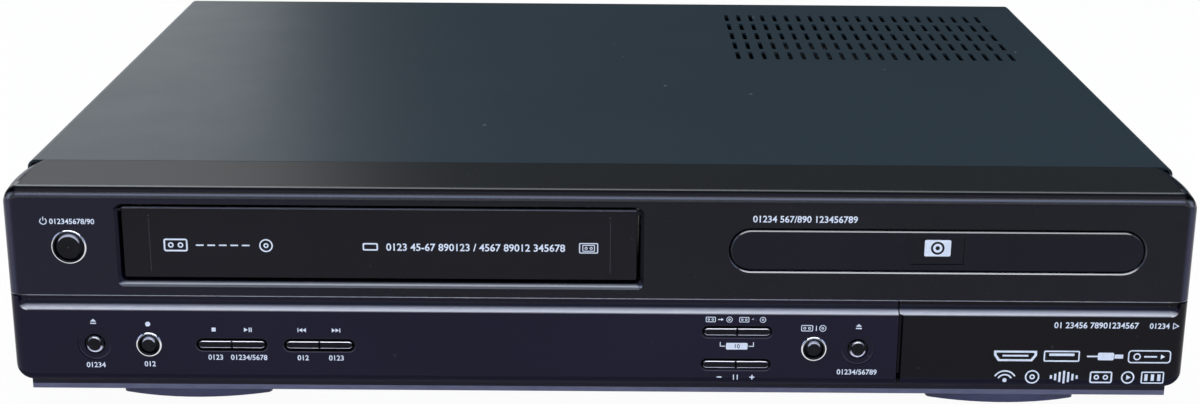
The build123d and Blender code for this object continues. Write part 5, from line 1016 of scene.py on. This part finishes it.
doorPrint = {"badgeLeft": -159.5, "badgeZ": 64.8, "badge": 8.8, "dashes": 5, "dashLeft": 13.2,
             "dashPitch": 4.2, "dash": (2.8, 0.55), "discLeft": 37.4, "disc": 2.5, "scaleLeft": -86.0,
             "scaleRight": -12.0, "scaleZ": 64.6, "scaleHeight": 2.75, "markX": -4.2, "mark": 4.6}


def doorSigns(values):
    x, z = values["badgeLeft"], values["badgeZ"]
    shapes = cassetteSign(x + values["badge"] / 2, z, values["badge"])
    for step in range(values["dashes"]):
        shapes += rectangle(x + values["dashLeft"] + values["dashPitch"] * step, z, *values["dash"])
    shapes += discSign(x + values["discLeft"], z, values["disc"])
    left, right, z = values["scaleLeft"], values["scaleRight"], values["scaleZ"]
    shapes += outline(left + 2.0, z, 5.6, 2.9, 0.6, 0.55)
    scaleX = (left + 7.0 + right) / 2
    shapes += digits("0123 45-67 890123 / 4567 89012 345678", scaleX, z, values["scaleHeight"])
    x = values["markX"]
    return shapes + outline(x, z, 7.0, 4.0, 0.5, 0.4) + cassetteSign(x, z, values["mark"])


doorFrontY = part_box("cassette_door")[0].y
printSign("doorSigns", doorSigns(doorPrint), doorFrontY, "cassette_door")

gateLines = {"fromEnd": 12.7, "bottom": 2.6, "top": 4.3, "line": 0.16, "dot": 0.28, "dotRise": 1.1}


def doorLines(values):
    left, right = ends("cassette_door", "x")
    low, high = ends("cassette_door", "z")
    start, end = low + values["bottom"], high - values["top"]
    shapes = []
    for x in (left + values["fromEnd"], right - values["fromEnd"]):
        shapes += rectangle(x, (start + end) / 2, values["line"], end - start)
        shapes += dot(x, end + values["dotRise"], values["dot"])
    return shapes


printSign("doorLines", doorLines(gateLines), doorFrontY, "cassette_door", grayInk)

flapPrint = {"openX": 212.8, "openZ": 36.4, "openNumber": 2.1, "topRowX": 183.5, "topRowZ": 36.5,
             "number": 2.3, "rowX": 146.4, "firstRowZ": 24.2, "secondRowZ": 15.9}
openArrow = (((-1.0, 1.3), (-1.0, -1.3), (1.4, 0)), ((-0.7, 0.8), (-0.7, -0.8), (0.7, 0)))
wideSocket = (((0, 2.1), (16, 2.1), (16, 0.2), (14.3, -2.1), (1.7, -2.1), (0, 0.2)),
              ((1, 1.3), (15, 1.3), (15, 0.4), (13.7, -1.3), (2.3, -1.3), (1, 0.4)))
soundBars = (1.4, 2.6, 4.0, 5.0, 4.0, 2.6, 1.4)


def flapSigns(values):
    x, z = values["openX"], values["openZ"]
    shapes = placed(openArrow, x, z) + digits("01234", x - 5.9, z, values["openNumber"])
    shapes += digits("01 23456 78901234567", values["topRowX"], values["topRowZ"], values["number"])
    # First row: a wide socket, a flat socket, a plug on its lead and a player
    x, z = values["rowX"], values["firstRowZ"]
    shapes += placed(wideSocket, x, z) + rectangle(x + 8, z + 0.1, 9.6, 0.7)
    shapes += outline(x + 25.2, z, 13.4, 4.4, 0.6, 0.55) + rectangle(x + 25.2, z + 0.6, 9.4, 1.0)
    shapes += rectangle(x + 36.6, z, 4.0, 0.6) + roundRectangle(x + 41.6, z, 6.0, 3.0, 0.6)
    shapes += rectangle(x + 46.4, z, 3.2, 1.6)
    shapes += outline(x + 57.8, z, 16.0, 5.2, 1.4, 0.5) + ring(x + 53.2, z, 1.4, 0.5)
    shapes += rectangle(x + 58.2, z, 4.8, 0.6) + triangle(x + 62.8, z, 1.6, 2.0, "right")
    # Second row: waves, a disc, a sound track, a cassette, a play sign and a card
    z = values["secondRowZ"]
    for radius in (4.6, 3.1):
        shapes += arcBand(x + 4.6, z - 2.0, radius, 0.6, 30, 150)
    shapes += dot(x + 4.6, z - 1.4, 0.8) + discSign(x + 14.8, z, 2.7)
    for step, rise in enumerate(soundBars):
        shapes += rectangle(x + 21.8 + 1.6 * step, z, 0.8, rise)
    shapes += cassetteSign(x + 40.4, z, 8.4)
    shapes += ring(x + 50.4, z, 2.5, 0.55) + triangle(x + 50.7, z, 1.7, 2.1, "right")
    shapes += outline(x + 59.6, z, 8.6, 4.8, 0.6, 0.5)
    for step in range(3):
        shapes += rectangle(x + 57.2 + 2.4 * step, z, 1.2, 2.6)
    return shapes


printSign("flapSigns", flapSigns(flapPrint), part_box("av_flap")[0].y, "av_flap")


# A pale plate on the tray front, with a plain disc sign
trayPlate = {"x": 0.0, "z": 1.3, "width": 9.6, "height": 6.3, "radius": 0.6, "depth": 0.1,
             "rings": (2.5, 1.7, 0.8)}


def trayMark(values):
    centre = middle("tray_front")
    x, z = centre.x / mm + values["x"], centre.z / mm + values["z"]
    shapes = roundRectangle(x, z, values["width"], values["height"], values["radius"])
    for radius in values["rings"]:
        shapes += dot(x, z, radius)
    printSign("trayPlateSign", shapes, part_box("tray_front")[0].y + values["depth"] * mm, "disc_tray")


trayMark(trayPlate)
print("printing done")


# Coloured collars round the phono shells, and white frames round the sockets at the rear
collar = {"inner": 4.25, "outer": 6.1, "thickness": 0.8, "pitch": 14.0, "rearRows": (22.0, 36.0, 50.0),
          "frontLeft": 10.4, "frontZ": 29.0, "plate": 14.0}
collarColors = {"yellow": (0.80, 0.52, 0.02), "white": (0.80, 0.80, 0.78), "red": (0.62, 0.02, 0.02),
                "green": (0.02, 0.32, 0.06), "blue": (0.02, 0.06, 0.50), "orange": (0.75, 0.22, 0.02)}
rearOrder = (("yellow", "white", "red", "orange"), ("yellow", "white", "red", "yellow"),
             ("green", "blue", "red", "white"))
frontOrder = ("yellow", "white", "red")
collarPlastic = {"specular": 0.4, "rough": (0.3, 0.42), "grainScale": 2600, "grainDepth": 0.01}
collarShade = 0.8
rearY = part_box("rear_panel")[1].y


def collarFinish(name, color):
    dark = tuple(value * collarShade for value in color)
    return plastic(name, {**collarPlastic, "color": color, "second": dark})


def addCollars(values):
    finishes = {name: collarFinish(name + "Collar", color) for name, color in collarColors.items()}
    faces = {"rear": rearY + values["thickness"] * mm, "front": frontY + values["plate"] * mm}
    centreX = middle("jack_panel").x / mm
    frontX = ends("front_jacks", "x")[0] + values["frontLeft"]
    groups = {}
    for rowZ, names in zip(values["rearRows"], rearOrder):
        for column, name in enumerate(names):
            x = centreX + (column - (len(names) - 1) / 2) * values["pitch"]
            groups.setdefault(("rear", name), []).append((x, rowZ))
    for column, name in enumerate(frontOrder):
        groups.setdefault(("front", name), []).append((frontX + column * values["pitch"], values["frontZ"]))
    for (side, name), places in groups.items():
        shapes = []
        for x, z in places:
            shapes += ring(x, z, values["outer"], values["outer"] - values["inner"])
        printSign(f"{side}{name.capitalize()}Collars", shapes, faces[side], "case", finishes[name],
                  thickness=values["thickness"])


addCollars(collar)
rearFrames = {"line": 0.5, "margin": 2.4, "radius": 1.5}


def addRearFrames(values):
    shapes = []
    for name in ("jack_panel", "scart_sockets", "mains_inlet", "digital_socket"):
        size = (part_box(name)[1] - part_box(name)[0]) / mm
        shapes += outline(middle(name).x / mm, middle(name).z / mm, size.x + values["margin"],
                          size.z + values["margin"], values["radius"], values["line"])
    printSign("rearFrames", shapes, rearY + (printInk["thickness"] - printInk["sink"]) * mm, "case")


addRearFrames(rearFrames)
print("rear marked")


# Floor
floorFinish = {"color": (0.93, 0.93, 0.93), "second": (0.92, 0.92, 0.925), "toneScale": 3,
               "brightness": 1.0, "glow": 0.96, "size": 9.0, "drop": 0.1}


def addFloor(values):
    shape = bmesh.new()
    bmesh.ops.create_grid(shape, x_segments=8, y_segments=8, size=values["size"])
    mesh = bpy.data.meshes.new("floor")
    shape.to_mesh(mesh)
    shape.free()
    floor = bpy.data.objects.new("floor", mesh)
    floor.location.z = -values["drop"] * mm
    scene.collection.objects.link(floor)
    finish = Finish("floorFinish")
    finish.set(Specular_IOR_Level=0.0, Roughness=1.0)
    finish.color(finish.drift(values["toneScale"], 2, values))
    glow = finish.add("ShaderNodeEmission")
    glow.inputs["Strength"].default_value = values["brightness"]
    path = finish.add("ShaderNodeLightPath")
    seen = finish.math("MAXIMUM", path.outputs["Is Camera Ray"], path.outputs["Is Glossy Ray"])
    seen = finish.math("MAXIMUM", seen, path.outputs["Is Transmission Ray"])
    mix = finish.add("ShaderNodeMixShader")
    finish.link(finish.math("MULTIPLY", seen, values["glow"]), mix.inputs[0])
    finish.link(finish.shader.outputs[0], mix.inputs[1])
    finish.link(glow.outputs[0], mix.inputs[2])
    finish.link(mix.outputs[0], finish.tree.nodes["Material Output"].inputs["Surface"])
    mesh.materials.append(finish.material)


addFloor(floorFinish)
print("floor laid")
